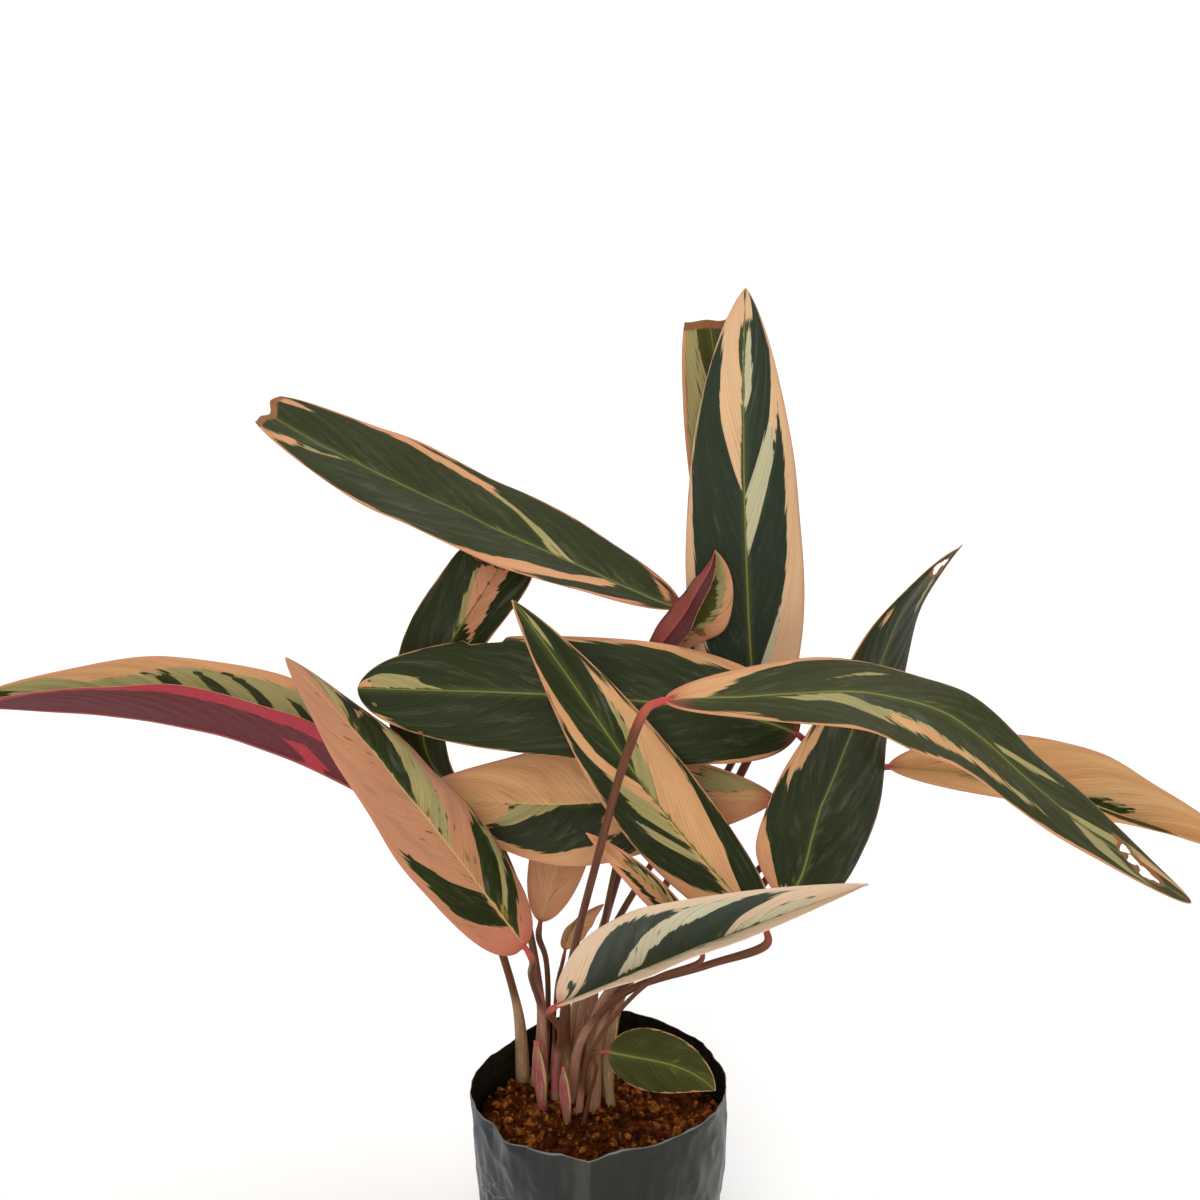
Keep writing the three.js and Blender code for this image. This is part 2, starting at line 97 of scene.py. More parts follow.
# Each leaf's foot and stalk points, the stalk's radius, four points on the midrib, the blade's
# greatest width, roll and twist about the midrib, fold and ripple. base and tip are the exponents
# of its width where they aren't BLADE's, and torn is the share of its length that is torn off.
# These are the solids' values, apart from the radius of small_low and young_rolled, which is 0.2
# less so that their rounder stalks pass their neighbours.
LEAVES = {
    "pale_left": dict(
        foot=(-32, 20), stalk=[(-31, 12, 160), (-36, -10, 201)], radius=2.2,
        midrib=[(-38, -25, 226), (-79, -9, 278), (-118, 10, 320), (-162, 30, 362)],
        width=64, roll=34, twist=12, fold=2, ripple=1, base=0.4, tip=0.75),
    "long_right": dict(
        foot=(-19, 26), stalk=[(-18, 8, 178), (0, -28, 282), (13, -44, 340)], radius=2.7,
        midrib=[(30, -50, 369), (125, -69, 376), (177, -98, 356), (246, -140, 313)],
        width=59, roll=-24, twist=-16, fold=8, ripple=1.6, base=0.5, tip=0.55),
    "front_pale": dict(
        foot=(-25, 18), stalk=[(-24, 8, 136), (-21, -12, 169)], radius=2.1,
        midrib=[(-21, -32, 197), (20, -51, 228), (56, -73, 258), (120, -95, 298)],
        width=65, roll=-18, twist=13, fold=57, ripple=0.8),
    "small_low": dict(
        foot=(-9, -4), stalk=[(-6, -5, 123), (-2, -7, 143)], radius=1.4,
        midrib=[(4, -10, 155), (23, -18, 156), (42, -28, 157), (59, -40, 152)],
        width=32, roll=20, twist=5, fold=5, ripple=0.5),
    "curled_small": dict(
        foot=(-27, 38), stalk=[(-24, 34, 168), (-21, 32, 182)], radius=1.3,
        midrib=[(-19, 30, 193), (-15, 30, 205), (-8, 30, 214), (2, 30, 220)],
        width=17, roll=20, twist=60, fold=40, ripple=0.6),
    "upper_left": dict(
        foot=(-14, 44), stalk=[(-5, 56, 163), (24, 74, 260), (49, 80, 331)], radius=2.7,
        midrib=[(44, 80, 374), (-36, 86, 407), (-115, 96, 442), (-191, 110, 482)],
        width=66, roll=24, twist=-8, fold=15, ripple=1.2, tip=0.55, torn=0.045),
    "young_folded": dict(
        foot=(-7, 40), stalk=[(0, 49, 184), (14, 67, 255)], radius=2,
        midrib=[(21, 70, 319), (28, 70, 361), (47, 69, 388), (61, 67, 409)],
        width=64, roll=100, twist=-32, fold=62, ripple=0.8, base=1.5, tip=1),
    "upright_tall": dict(
        foot=(1, 36), stalk=[(8, 42, 160), (44, 66, 226), (77, 74, 274)], radius=2.9,
        midrib=[(87, 78, 306), (80, 80, 382), (76, 86, 468), (76, 96, 543)],
        width=66, roll=5, twist=4, fold=1, ripple=1, base=0.45),
    "upright_back": dict(
        foot=(-22, 49), stalk=[(-11, 62, 145), (30, 82, 218), (73, 90, 273)], radius=2.6,
        midrib=[(85, 96, 313), (77, 98, 383), (68, 103, 458), (56, 110, 538)],
        width=43, roll=0, twist=0, fold=4, ripple=1, tip=0.35, torn=0.05),
    "diagonal": dict(
        foot=(-15, 16), stalk=[(-10, 8, 150), (14, -2, 186), (56, -12, 208)], radius=2.6,
        midrib=[(85, -14, 231), (31, -2, 292), (-3, 8, 339), (-44, 16, 397)],
        width=46, roll=-19, twist=10, fold=3, ripple=0.8, base=0.4, tip=0.75),
    "broad_middle": dict(
        foot=(-6, 22), stalk=[(4, 18, 172), (74, 18, 221), (111, 24, 290)], radius=2.7,
        midrib=[(103, 26, 321), (32, 32, 336), (-60, 38, 340), (-128, 44, 340)],
        width=66, roll=-15, twist=7, fold=4, ripple=1.2, base=0.5, tip=0.6),
    "broad_lower": dict(
        foot=(-9, 32), stalk=[(8, 33, 166), (62, 34, 216), (99, 34, 256)], radius=2.6,
        midrib=[(94, 36, 280), (11, 42, 276), (-31, 46, 272), (-100, 50, 277)],
        width=68, roll=-14, twist=6, fold=6, ripple=1.2, base=0.65, tip=0.65),
    "right_dark": dict(
        foot=(-4, 8), stalk=[(4, 6, 170), (40, 6, 214), (74, 2, 232)], radius=2.7,
        midrib=[(93, -6, 243), (119, 6, 296), (144, 18, 366), (183, 32, 421)],
        width=75, roll=29, twist=54, fold=3, ripple=1.2, tip=1.05),
    "right_tan": dict(
        foot=(3, 20), stalk=[(16, 25, 176), (96, 34, 221), (139, 40, 274)], radius=2.7,
        midrib=[(154, 42, 296), (231, 53, 281), (295, 62, 256), (378, 70, 224)],
        width=63, roll=12, twist=-37, fold=50, ripple=1),
    "back_left": dict(
        foot=(-36, 32), stalk=[(-33, 40, 147), (-45, 64, 206)], radius=2.8,
        midrib=[(-74, 82, 258), (-98, 88, 315), (-68, 96, 372), (-58, 108, 396)],
        width=54, roll=-28, twist=36, fold=26, ripple=1.2, base=0.7, tip=0.4),
    "far_left": dict(
        foot=(-44, 36), stalk=[(-47, 32, 160), (-70, 33, 233)], radius=2.9,
        midrib=[(-97, 34, 265), (-182, 51, 303), (-260, 68, 314), (-358, 84, 314)],
        width=88, roll=55, twist=-25, fold=61, ripple=1, base=0.4, tip=0.7),
    "young_rolled": dict(
        foot=(-12, 4), stalk=[(-5, -4, 150), (26, -18, 202)], radius=1.6,
        midrib=[(51, -26, 228), (34, -22, 248), (14, -16, 266), (-7, -10, 282)],
        width=18, roll=-30, twist=20, fold=40, ripple=0.4),
    "low_back": dict(
        foot=(-33, 47), stalk=[(-30, 53, 136), (-31, 58, 171)], radius=2.1,
        midrib=[(-34, 62, 192), (-23, 70, 230), (-13, 80, 268), (-6, 88, 307)],
        width=34, roll=0, twist=0, fold=5, ripple=0.8),
}
SHEATHS = {
    "tan": dict(foot=(6, 12), stalk=[(4, 10, 135)], top=(9, 8, 172), radius=2.4),
    "pink": dict(foot=(-32, 9), stalk=[(-33, 7, 125)], top=(-35, 4, 152), radius=2.4),
    "short": dict(foot=(-18, -1), stalk=[(-19, -3, 122)], top=(-20, -5, 142), radius=2),
}

# How each blade is marked. ground is the colour that the patches are painted on: green, sage or
# cream. A patch is a colour, a side of the midrib (L or R) and an outline. An outline's points are
# (q, v) in percent: q is how far along the blade the side vein through the point leaves the midrib,
# and v is how far the point is from the midrib towards the margin, so a patch with upright ends
# follows the veins. The rest is in shares of the length and of the half width: vein says how far
# the side veins run forward, sway is how far the midrib wanders off the middle, holes are (u, v,
# reach, reach), bites are (side, u, reach, depth) and scars are (u, v, radius in millimetres).
# edging is the width of the pale margin at left and right in millimetres. rosy, age and olive
# tint the colours, and the sheen tint after them pales them towards a bluish white: a painted
# sheen, standing in for light shone off a glossy blade.
PLAIN_MARKS = dict(ground="green", vein=0.25, rosy=0.2, age=0.3, olive=0, painted_sheen=0, edging=(1, 1),
                   sway=[(0, 0), (1, 0)], holes=(), bites=(), scars=())
MARKINGS = {
    "pale_left": dict(ground="cream", vein=0.17, rosy=0.75, age=1, patches=[
        ("green", "L", [(5, 6), (15, 6), (15, 45), (19, 68), (21, 80), (11, 88), (-3, 86),
            (0, 65)]),
        ("green", "R", [(2, 2), (15.5, 2), (17, 40), (19, 70), (10, 90), (-13, 98), (-8, 85),
            (-2, 60), (0, 30)]),
        ("sage", "R", [(7, 6), (9, 6), (6, 50), (5, 75), (8, 95), (-5, 97), (-3, 85), (2, 70),
            (5, 40)]),
        ("sage", "R", [(30, 5), (45, 5), (50, 40), (53, 70), (50, 95), (36, 95), (37, 75), (33, 45),
            (30, 20)]),
        ("green", "R", [(45, 0), (74, 3), (73, 45), (71, 70), (60, 90), (45, 100), (50, 85),
            (54, 70), (50, 40), (46, 10)]),
        ("sage", "R", [(74, 10), (80, 20), (83, 50), (80, 70), (72, 90), (62, 97), (70, 80),
            (74, 50)]),
        ("cream", "R", [(68.5, 40), (67, 60), (60, 80), (50, 93), (59, 79), (66, 58)])]),
    "long_right": dict(rosy=0.1, olive=0.25, edging=(0.8, 1.7), sway=[(0, 0.1), (0.04, 0.1),
        (0.09, 0.2), (0.14, 0.12), (0.2, 0.03), (0.3, -0.12), (0.4, -0.2), (0.5, -0.25),
        (0.6, -0.2), (0.7, -0.1), (0.8, 0), (1, 0)], holes=[(0.9, -0.32, 0.008, 0.2),
        (0.917, -0.1, 0.009, 0.22), (0.942, 0.12, 0.015, 0.32)], scars=[(0.885, -0.5, 4),
        (0.99, 0, 5)], patches=[
        ("cream", "L", [(-45, 100), (-28, 80), (-10, 45), (0, 5), (4, 3), (-3, 45), (-10, 70),
            (-13, 88), (-8, 100)]),
        ("sage", "L", [(12, 75), (17, 60), (16, 35), (14, 35), (14.5, 50), (12, 65)]),
        ("sage", "L", [(56, 62), (57.5, 40), (57.5, 12), (62, 10), (63, 35), (61, 50), (59, 66)]),
        ("sage", "L", [(70, 95), (72, 70), (78, 35), (79, 2), (83, 2), (86, 25), (80, 60),
            (74, 90)]),
        ("cream", "L", [(74, 85), (79, 50), (84, 30), (84, 55), (78, 90)]),
        ("sage", "R", [(12, 12), (24, 4), (25, 30), (33, 40), (42, 50), (55, 57), (62, 60),
            (55, 68), (45, 72), (35, 70), (25, 68), (19, 62), (17, 45), (16, 33), (12, 28)]),
        ("cream", "R", [(27, 42), (33, 45), (42, 55), (55, 61), (50, 68), (40, 70), (30, 66),
            (22, 60)]),
        ("cream", "R", [(-40, 100), (-20, 82), (-10, 75), (-20, 90), (-20, 100)]),
        ("sage", "R", [(72, 60), (76, 30), (80, 5), (86, 5), (82, 35), (75, 70), (66, 92)])]),
    "front_pale": dict(age=0.5, painted_sheen=1, edging=(1.6, 1.5), patches=[
        ("cream", "L", [(-45, 100), (-20, 72), (0, 0), (4, 0), (5, 25), (4, 50), (6, 80),
            (8, 100)]),
        ("green", "L", [(1, 5), (-2, 25), (-9, 55), (-7, 60), (-1, 38)]),
        ("sage", "L", [(22, 8), (34, 8), (36, 25), (44, 42), (50, 52), (56, 65), (57, 85), (40, 85),
            (38, 68), (31, 52), (26, 35)]),
        ("cream", "L", [(6, 100), (8, 86), (38, 84), (60, 84), (60, 100)]),
        ("cream", "L", [(68, 0), (67, 30), (68, 55), (66, 70), (62, 85), (50, 100), (100, 100),
            (100, 0)]),
        ("sage", "L", [(70, 2), (86, 2), (86, 25), (80, 40), (73, 30)]),
        ("cream", "R", [(-45, 100), (-10, 3), (100, 3), (100, 100)]),
        ("sage", "R", [(45, 2), (70, 2), (72, 25), (55, 25), (48, 15)])]),
    "small_low": dict(rosy=0.1, olive=0.45, edging=(0.5, 0.6), patches=[]),
    "curled_small": dict(ground="cream", rosy=0.1, age=0.9, patches=[
        ("sage", "L", [(10, 10), (50, 10), (50, 80), (10, 80)])]),
    "upper_left": dict(rosy=0.5, age=0.4, olive=0.12, edging=(1.6, 1), sway=[(0, -0.5),
        (0.05, -0.38), (0.1, -0.25), (0.2, -0.1), (0.3, -0.05), (0.5, -0.02), (0.7, -0.05),
        (1, -0.15)], patches=[
        ("cream", "L", [(11, 12), (15, 8), (11, 50), (17, 68), (16, 80), (9, 100), (-1, 100),
            (3, 75), (4, 50)]),
        ("cream", "L", [(-40, 100), (-20, 88), (-10, 70), (-14, 90), (-10, 100)]),
        ("sage", "L", [(73, 8), (75, 10), (74.5, 25), (77, 42), (71, 50), (72.5, 25)]),
        ("cream", "L", [(77, 38), (76, 55), (70, 75), (58, 95), (68, 70), (73, 45)]),
        ("sage", "R", [(23.5, 3), (28.5, 4), (26.5, 20), (26.5, 50), (28, 68), (25, 72), (23.5, 50),
            (23, 25)]),
        ("cream", "R", [(28, 65), (30, 72), (38, 80), (45, 100), (33, 97), (27, 90), (21, 82),
            (24, 75)]),
        ("cream", "R", [(60, 100), (66, 75), (74, 72), (70, 85), (65, 100)]),
        ("cream", "R", [(-42, 100), (-20, 85), (-3, 25), (-10, 60), (-14, 75), (-25, 95)])]),
    "young_folded": dict(rosy=0.1, age=0.5, olive=1, edging=(0.5, 4), sway=[(0, -0.5), (0.6, -0.5),
        (0.9, -0.35), (1, 0)], scars=[(0.5, 0.85, 4), (0.3, 0.8, 5)], patches=[
        ("sage", "R", [(-45, 2), (100, 2), (100, 84), (-45, 84)]),
        ("cream", "R", [(-45, 100), (-45, 83), (80, 80), (100, 40), (100, 100)]),
        ("green", "R", [(-20, 60), (20, 66), (75, 50), (50, 74), (10, 76)]),
        ("green", "R", [(20, 30), (70, 25), (60, 40), (20, 42)])]),
    "upright_tall": dict(vein=0.33, age=0, painted_sheen=0.6, edging=(0.8, 1.2), patches=[
        ("cream", "R", [(-40, 100), (-20, 55), (0, 15), (6, 20), (10, 40), (11, 65), (18, 73),
            (33, 79), (42, 84), (45, 100)]),
        ("sage", "R", [(2, 20), (10, 12), (10, 40), (11, 60), (5, 50)]),
        ("sage", "R", [(40, 2), (53, 2), (52, 40), (50, 60), (42, 62), (42, 45), (40, 20)]),
        ("cream", "R", [(42, 60), (50, 58), (50, 75), (45, 97), (35, 99), (42, 80)]),
        ("cream", "L", [(53, 6), (95, 2), (85, 45), (70, 80), (55, 100), (48, 100), (55, 80),
            (60, 72), (53, 50), (53, 25)]),
        ("green", "L", [(76, 4), (79, 22), (83, 20), (91, 2)]),
        ("sage", "R", [(70, 3), (80, 3), (86, 10), (80, 30), (75, 25), (69, 20)]),
        ("cream", "R", [(90, 5), (97, 0), (87, 45), (75, 70), (77, 45)]),
        ("cream", "L", [(-30, 100), (10, 100), (17, 97), (10, 88), (0, 78), (-15, 80)])]),
    "upright_back": dict(vein=0.33, age=0.4, olive=0.6, edging=(1.5, 1.5), patches=[
        ("sage", "L", [(20, 62), (85, 50), (90, 90), (20, 95)]),
        ("sage", "L", [(60, 10), (72, 10), (74, 50), (62, 55)]),
        ("cream", "L", [(30, 90), (75, 84), (80, 100), (30, 100)])]),
    "diagonal": dict(vein=0.3, age=0.2, edging=(1, 0.7), patches=[
        ("cream", "L", [(-45, 100), (-12, 45), (0, 0), (35, 0), (35, 6), (10, 9), (4, 15), (-2, 40),
            (-8, 75), (-15, 97)]),
        ("sage", "L", [(13, 8), (17, 8), (17, 50), (16, 62), (12, 55)]),
        ("sage", "L", [(20, 6), (32, 6), (34, 55), (27, 50), (21, 45)]),
        ("cream", "L", [(32, 4), (41, 4), (41, 30), (42, 50), (50, 65), (52, 85), (50, 100),
            (42, 100), (34, 80), (34, 60), (33, 40)]),
        ("cream", "L", [(-10, 100), (0, 95), (15, 90), (20, 95), (15, 100)]),
        ("cream", "L", [(50, 100), (58, 88), (70, 80), (66, 92), (58, 100)]),
        ("cream", "R", [(3, 2), (34, 2), (33, 25), (37, 42), (45, 55), (54, 68), (50, 80), (35, 90),
            (15, 94), (2, 90), (1, 75), (-2, 60), (0, 30)]),
        ("sage", "R", [(34, 2), (45, 2), (47, 30), (50, 50), (55, 68), (45, 56), (37, 42),
            (33, 25)]),
        ("sage", "R", [(80, 20), (90, 12), (86, 40), (80, 48)])]),
    "broad_middle": dict(edging=(0.5, 0.6), bites=[("R", 0.675, 0.045, 0.1)],
        scars=[(0.93, -0.62, 3), (0.8, -0.97, 2)], patches=[
        ("sage", "R", [(75, 3), (92, 5), (93, 15), (87, 35), (83, 55), (78, 60), (77, 45), (74, 30),
            (77, 15)]),
        ("cream", "R", [(92, 8), (97, 8), (87, 55), (80, 75), (83, 50), (87, 35)]),
        ("cream", "R", [(-40, 100), (-20, 85), (-2, 83), (5, 77), (2, 90), (10, 93), (30, 90),
            (22, 100)]),
        ("cream", "L", [(-42, 100), (-30, 93), (-20, 80), (-17, 90), (-10, 100)]),
        ("cream", "L", [(45, 100), (50, 95), (62, 85), (56, 100)])]),
    "broad_lower": dict(ground="cream", rosy=0.1, edging=(1.5, 1), patches=[
        ("green", "L", [(36, 0), (58, 0), (65, 25), (68, 55), (66, 72), (60, 80), (50, 84),
            (40, 84), (20, 62), (30, 45), (34, 25)]),
        ("sage", "L", [(58, 0), (80, 1), (74, 12), (73, 35), (69, 55), (68, 60), (64.5, 25)]),
        ("sage", "R", [(8, 20), (10, 30), (0, 55), (-15, 85), (-30, 95), (-10, 50), (2, 20)]),
        ("green", "L", [(-2, 50), (20, 30), (20, 75), (-5, 95)])]),
    "right_dark": dict(rosy=0.3, age=0.2, edging=(0.8, 0.6), sway=[(0, 0.2), (0.1, 0.1),
        (0.2, -0.05), (0.3, -0.13), (0.4, -0.11), (0.65, -0.05), (0.8, -0.3), (0.9, -0.45),
        (1, -0.3)], holes=[(0.915, 0.05, 0.02, 0.42), (0.938, 0.3, 0.01, 0.3)], patches=[
        ("cream", "L", [(-45, 100), (-22, 72), (-10, 45), (2, 2), (4, 5), (-10, 50), (-6, 75),
            (-13, 95), (-12, 100)]),
        ("cream", "L", [(0, 98), (10, 80), (25, 70), (30, 75), (20, 85), (12, 95), (5, 100)]),
        ("cream", "L", [(50, 85), (57, 72), (60, 60), (57, 62), (50, 78)]),
        ("sage", "R", [(63, 60), (70, 50), (80, 40), (75, 55), (66, 67)])]),
    "right_tan": dict(ground="cream", vein=0.3, rosy=0, age=0.15, patches=[
        ("sage", "L", [(45, 10), (55, 14), (63, 13), (60, 20), (50, 20)]),
        ("green", "L", [(50, 2), (63, 0), (63, 12), (55, 14), (50, 10)]),
        ("green", "R", [(45, 2), (70, 2), (62, 45), (50, 75), (30, 100), (25, 100), (35, 75),
            (42, 40)]),
        ("sage", "R", [(10, 15), (20, 15), (15, 40), (8, 50), (5, 35)])]),
    "back_left": dict(rosy=1, edging=(0.5, 0.8), patches=[
        ("sage", "L", [(53, 2), (60, 2), (68, 38), (66, 44), (58, 30)]),
        ("cream", "L", [(60, 0), (82, 0), (74, 30), (68, 38), (62, 20)]),
        ("cream", "R", [(60, 0), (82, 0), (76, 30), (60, 40), (42, 55), (50, 30)])]),
    "far_left": dict(age=0.25, olive=0.2, edging=(3.5, 2), patches=[
        ("cream", "L", [(-25, 100), (-10, 85), (0, 66), (20, 72), (28, 72), (33, 90), (55, 93),
            (40, 100)]),
        ("cream", "L", [(14, 40), (20, 35), (21, 10), (25, 0), (20, 0), (16, 10)]),
        ("sage", "R", [(-45, 0), (79, 0), (78, 50), (68, 85), (56, 100), (-45, 100)]),
        ("cream", "R", [(-45, 100), (-10, 86), (30, 84), (45, 70), (60, 62), (58, 80), (50, 100)]),
        ("green", "R", [(10, 70), (12, 40), (17, 6), (19, 6), (16, 40), (13, 70)]),
        ("green", "R", [(19, 84), (20, 60), (24, 30), (25, 2), (28, 2), (27, 35), (23, 65),
            (22, 86)]),
        ("green", "R", [(29, 78), (31, 40), (33, 15), (36, 30), (34, 60), (31, 80)]),
        ("green", "R", [(39, 72), (42, 35), (43, 2), (50, 2), (48, 35), (43, 70)])]),
    "young_rolled": dict(ground="cream", vein=0.2, rosy=0.5, edging=(0.5, 0.5), patches=[
        ("green", "L", [(-20, 30), (60, 30), (60, 60), (-30, 60)]),
        ("sage", "R", [(10, 20), (70, 20), (50, 60), (10, 60)]),
        ("green", "R", [(-20, 60), (60, 60), (40, 90), (-30, 90)])]),
    "low_back": dict(ground="cream", rosy=0.3, age=0.4, patches=[
        ("sage", "R", [(30, 20), (50, 20), (50, 80), (30, 80)])]),
}
PALE_LEAVES = {"pale_left", "front_pale", "right_tan", "low_back", "broad_lower"}


# ---- curves and frames ----

def unit(vectors):
    return vectors / np.maximum(np.linalg.norm(vectors, axis=-1, keepdims=True), 1e-9)


def smooth(x, low, high):
    t = np.clip((np.asarray(x, float) - low) / (high - low), 0, 1)
    return t * t * (3 - 2 * t)


def blend(a, b, t):
    return a + (b - a) * t


def cubic(points):
    """Handles of the cubic curve that passes through four points at 0, 1/3, 2/3 and 1."""
    a, b, c, d = (np.array(p, float) for p in points)
    return a, (-5 * a + 18 * b - 9 * c + 2 * d) / 6, (2 * a - 9 * b + 18 * c - 5 * d) / 6, d


def on_cubic(handles, u):
    a, b, c, d = handles
    u = np.asarray(u, float)[..., None]
    w = 1 - u
    return w**3 * a + 3 * w * w * u * b + 3 * w * u * u * c + u**3 * d


def cubic_slope(handles, u):
    a, b, c, d = handles
    u = np.asarray(u, float)[..., None]
    w = 1 - u
    return unit(w * w * (b - a) + 2 * w * u * (c - b) + u * u * (d - c))


def catmull_rom(points, t):
    """Point at t (0 to 1) of the centripetal Catmull-Rom curve through the points."""
    last = len(points) - 1
    k = min(int(t * last), last - 1)
    weight = t * last - k
    p1, p2 = points[k], points[k + 1]
    p0 = points[k - 1] if k > 0 else 2 * p1 - p2
    p3 = points[k + 2] if k + 2 <= last else 2 * p2 - p1
    d0, d1, d2 = (math.sqrt(np.linalg.norm(b - a)) for a, b in ((p0, p1), (p1, p2), (p2, p3)))
    m1 = ((p1 - p0) / d0 - (p2 - p0) / (d0 + d1) + (p2 - p1) / d1) * d1
    m2 = ((p2 - p1) / d1 - (p3 - p1) / (d1 + d2) + (p3 - p2) / d2) * d1
    w2, w3 = weight**2, weight**3
    return p1 + m1 * weight + (3 * (p2 - p1) - 2 * m1 - m2) * w2 + (2 * (p1 - p2) + m1 + m2) * w3


def random_waves(seed, coordinates, wavelength, count=9):
    """A smooth random field of about -1 to 1 with features of the given wavelength."""
    rng = np.random.default_rng(seed)
    total = 0
    for _ in range(count):
        direction = unit(rng.normal(size=coordinates.shape[-1]))
        pitch = wavelength * rng.uniform(0.7, 1.6)
        total = total + np.sin(coordinates @ direction * (2 * math.pi / pitch) + rng.uniform(0, 7))
    return total / math.sqrt(count)


# ---- meshes ----

def add_mesh(name, points, faces, materials, face_materials=None, attributes=None):
    """A mesh object from points in millimetres. attributes maps names to arrays of numbers or
    vectors, one for each point."""
    mesh = bpy.data.meshes.new(name)
    mesh.from_pydata((np.asarray(points) * MM).tolist(), [],
                     faces if isinstance(faces, list) else faces.tolist())
    for material in materials:
        mesh.materials.append(material)
    if face_materials is not None:
        mesh.polygons.foreach_set("material_index", np.asarray(face_materials, np.int32))
    for key, values in (attributes or {}).items():
        values = np.asarray(values, np.float32)
        if values.ndim == 1:
            mesh.attributes.new(key, "FLOAT", "POINT").data.foreach_set("value", values)
        else:
            mesh.attributes.new(key, "FLOAT_VECTOR", "POINT").data.foreach_set(
                "vector", values.ravel())
    mesh.polygons.foreach_set("use_smooth", [True] * len(mesh.polygons))
    mesh.update()
    piece = bpy.data.objects.new(name, mesh)
    bpy.context.scene.collection.objects.link(piece)
    return piece


def place(piece, slot, *nodes):
    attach(piece, "root")
    if nodes:
        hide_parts(*nodes)
    return piece


def two_sided(kept, count):
    """Quads over a grid of kept cells for an upper face, a lower face whose points come count
    later, and walls along every free edge. Returns the quads and 0, 1 or 2 for each."""
    columns = kept.shape[1]
    row, column = np.nonzero(kept)
    a = row * (columns + 1) + column
    upper = np.stack([a, a + 1, a + columns + 2, a + columns + 1], -1)
    lower = upper[:, ::-1] + count
    edges = {(int(quad[k]), int(quad[(k + 1) % 4])) for quad in upper for k in range(4)}
    walls = [(q, p, p + count, q + count) for p, q in sorted(edges) if (q, p) not in edges]
    quads = np.concatenate([upper, lower, np.array(walls, int)])
    kinds = np.repeat([0, 1, 2], [len(upper), len(lower), len(walls)])
    return quads, kinds


def ring_quads(rings, around):
    """Quads between neighbouring rings of points, where each ring is a closed loop."""
    start, here = np.arange(rings - 1)[:, None] * around, np.arange(around)
    a, b = (start + here).ravel(), (start + (here + 1) % around).ravel()
    return np.stack([a, b, b + around, a + around], -1)


def per_point(shape, *values):
    """A vector for each point of a grid, from three arrays or numbers that fit the grid."""
    return np.stack([np.broadcast_to(value, shape).ravel() for value in values], -1)


# ---- blades ----

def half_width(leaf, u):
    base = leaf.get("base", BLADE["base_exponent"])
    tip = leaf.get("tip", BLADE["tip_exponent"])
    widest = base / (base + tip)
    peak = widest**base * (1 - widest) ** tip
    share = np.clip(u, 0, 1) ** base * np.clip(1 - u, 0, 1) ** tip / peak
    return np.maximum(blend(*BLADE["narrowest"], u), leaf["width"] / 2 * share)


def blade_frame(leaf, handles, u):
    along = cubic_slope(handles, u)
    out = unit(TO_THE_LIGHT - along * (along @ TO_THE_LIGHT)[..., None])
    angle = np.radians(leaf["roll"] + leaf["twist"] * np.asarray(u))[..., None]
    out = out * np.cos(angle) + np.cross(along, out) * np.sin(angle)
    return along, out, np.cross(along, out)


def blade_point(leaf, handles, u, v):
    """The blade's middle surface: u from base to tip, v from the left margin to the right one."""
    _, out, across = blade_frame(leaf, handles, u)
    half = half_width(leaf, u)
    fold = math.radians(leaf["fold"])
    wave = np.sin(2 * math.pi * BLADE["ripples"] * u + BLADE["ripple_phase"] * np.sign(v))
    lift = half * (np.abs(v) * math.sin(fold) - BLADE["arch"] * v * v)
    lift = lift + leaf["ripple"] * v * v * np.sin(math.pi * u) * wave
    sideways = half * v * math.cos(fold)
    return on_cubic(handles, u) + across * sideways[..., None] + out * lift[..., None]


def sway_at(marks, u):
    stations, offsets = zip(*marks["sway"])
    return np.interp(u, stations, offsets)


def inside_distance(outline, x, y):
    """Distance to an outline, positive inside it and negative outside."""
    nearest = np.full(x.shape, np.inf)
    inside = np.zeros(x.shape, bool)
    for (ax, ay), (bx, by) in zip(outline, outline[1:] + outline[:1]):
        ex, ey = bx - ax, by - ay
        t = np.clip(((x - ax) * ex + (y - ay) * ey) / max(ex * ex + ey * ey, 1e-9), 0, 1)
        nearest = np.minimum(nearest, np.hypot(x - ax - t * ex, y - ay - t * ey))
        crosses = (ay > y) != (by > y)
        with np.errstate(divide="ignore", invalid="ignore"):
            inside ^= crosses & (x < ax + (y - ay) * ex / ey)
    return np.where(inside, nearest, -nearest)


FAR = 12.0       # a distance in millimetres beyond which a patch has no say
ACROSS = 0.42    # how far apart two side veins are, per distance between their starts
VEIN_SPACING = 2.6
ALONG = 0.5      # distances along a vein count less, so that patches end in long teeth


def markings(leaf, marks, length, u, v):
    """The side vein through each point, its distance to the margin, and how far it is inside the
    pale area and inside the cream part of that, in millimetres."""
    side_vein = u - marks["vein"] * np.abs(v) - RIM_CURVE * np.abs(v) ** 6
    scale = np.array([length * ACROSS, leaf["width"] / 2 * ALONG])
    x, y = side_vein * scale[0], np.abs(v) * scale[1]
    fields = {kind: np.full(u.shape, FAR if kind == marks["ground"] else -FAR)
              for kind in ("green", "sage", "cream")}
    for kind, side, outline in marks["patches"]:
        depth = inside_distance((np.array(outline) / 100 * scale).tolist(), x, y)
        depth = np.where(v < 0 if side == "L" else v > 0, depth, -FAR)
        for other in fields:
            fields[other] = (np.maximum(fields[other], depth) if other == kind
                             else np.minimum(fields[other], -depth))
    edge = (1 - np.abs(v)) * half_width(leaf, u)
    uneven = 0.75 + 0.35 * np.sin(u * 23 + np.sign(v))
    width = np.where(v < 0, *marks["edging"]) * uneven
    cream = np.maximum(fields["cream"], width - edge)
    return side_vein, edge, np.maximum(fields["sage"], cream), cream


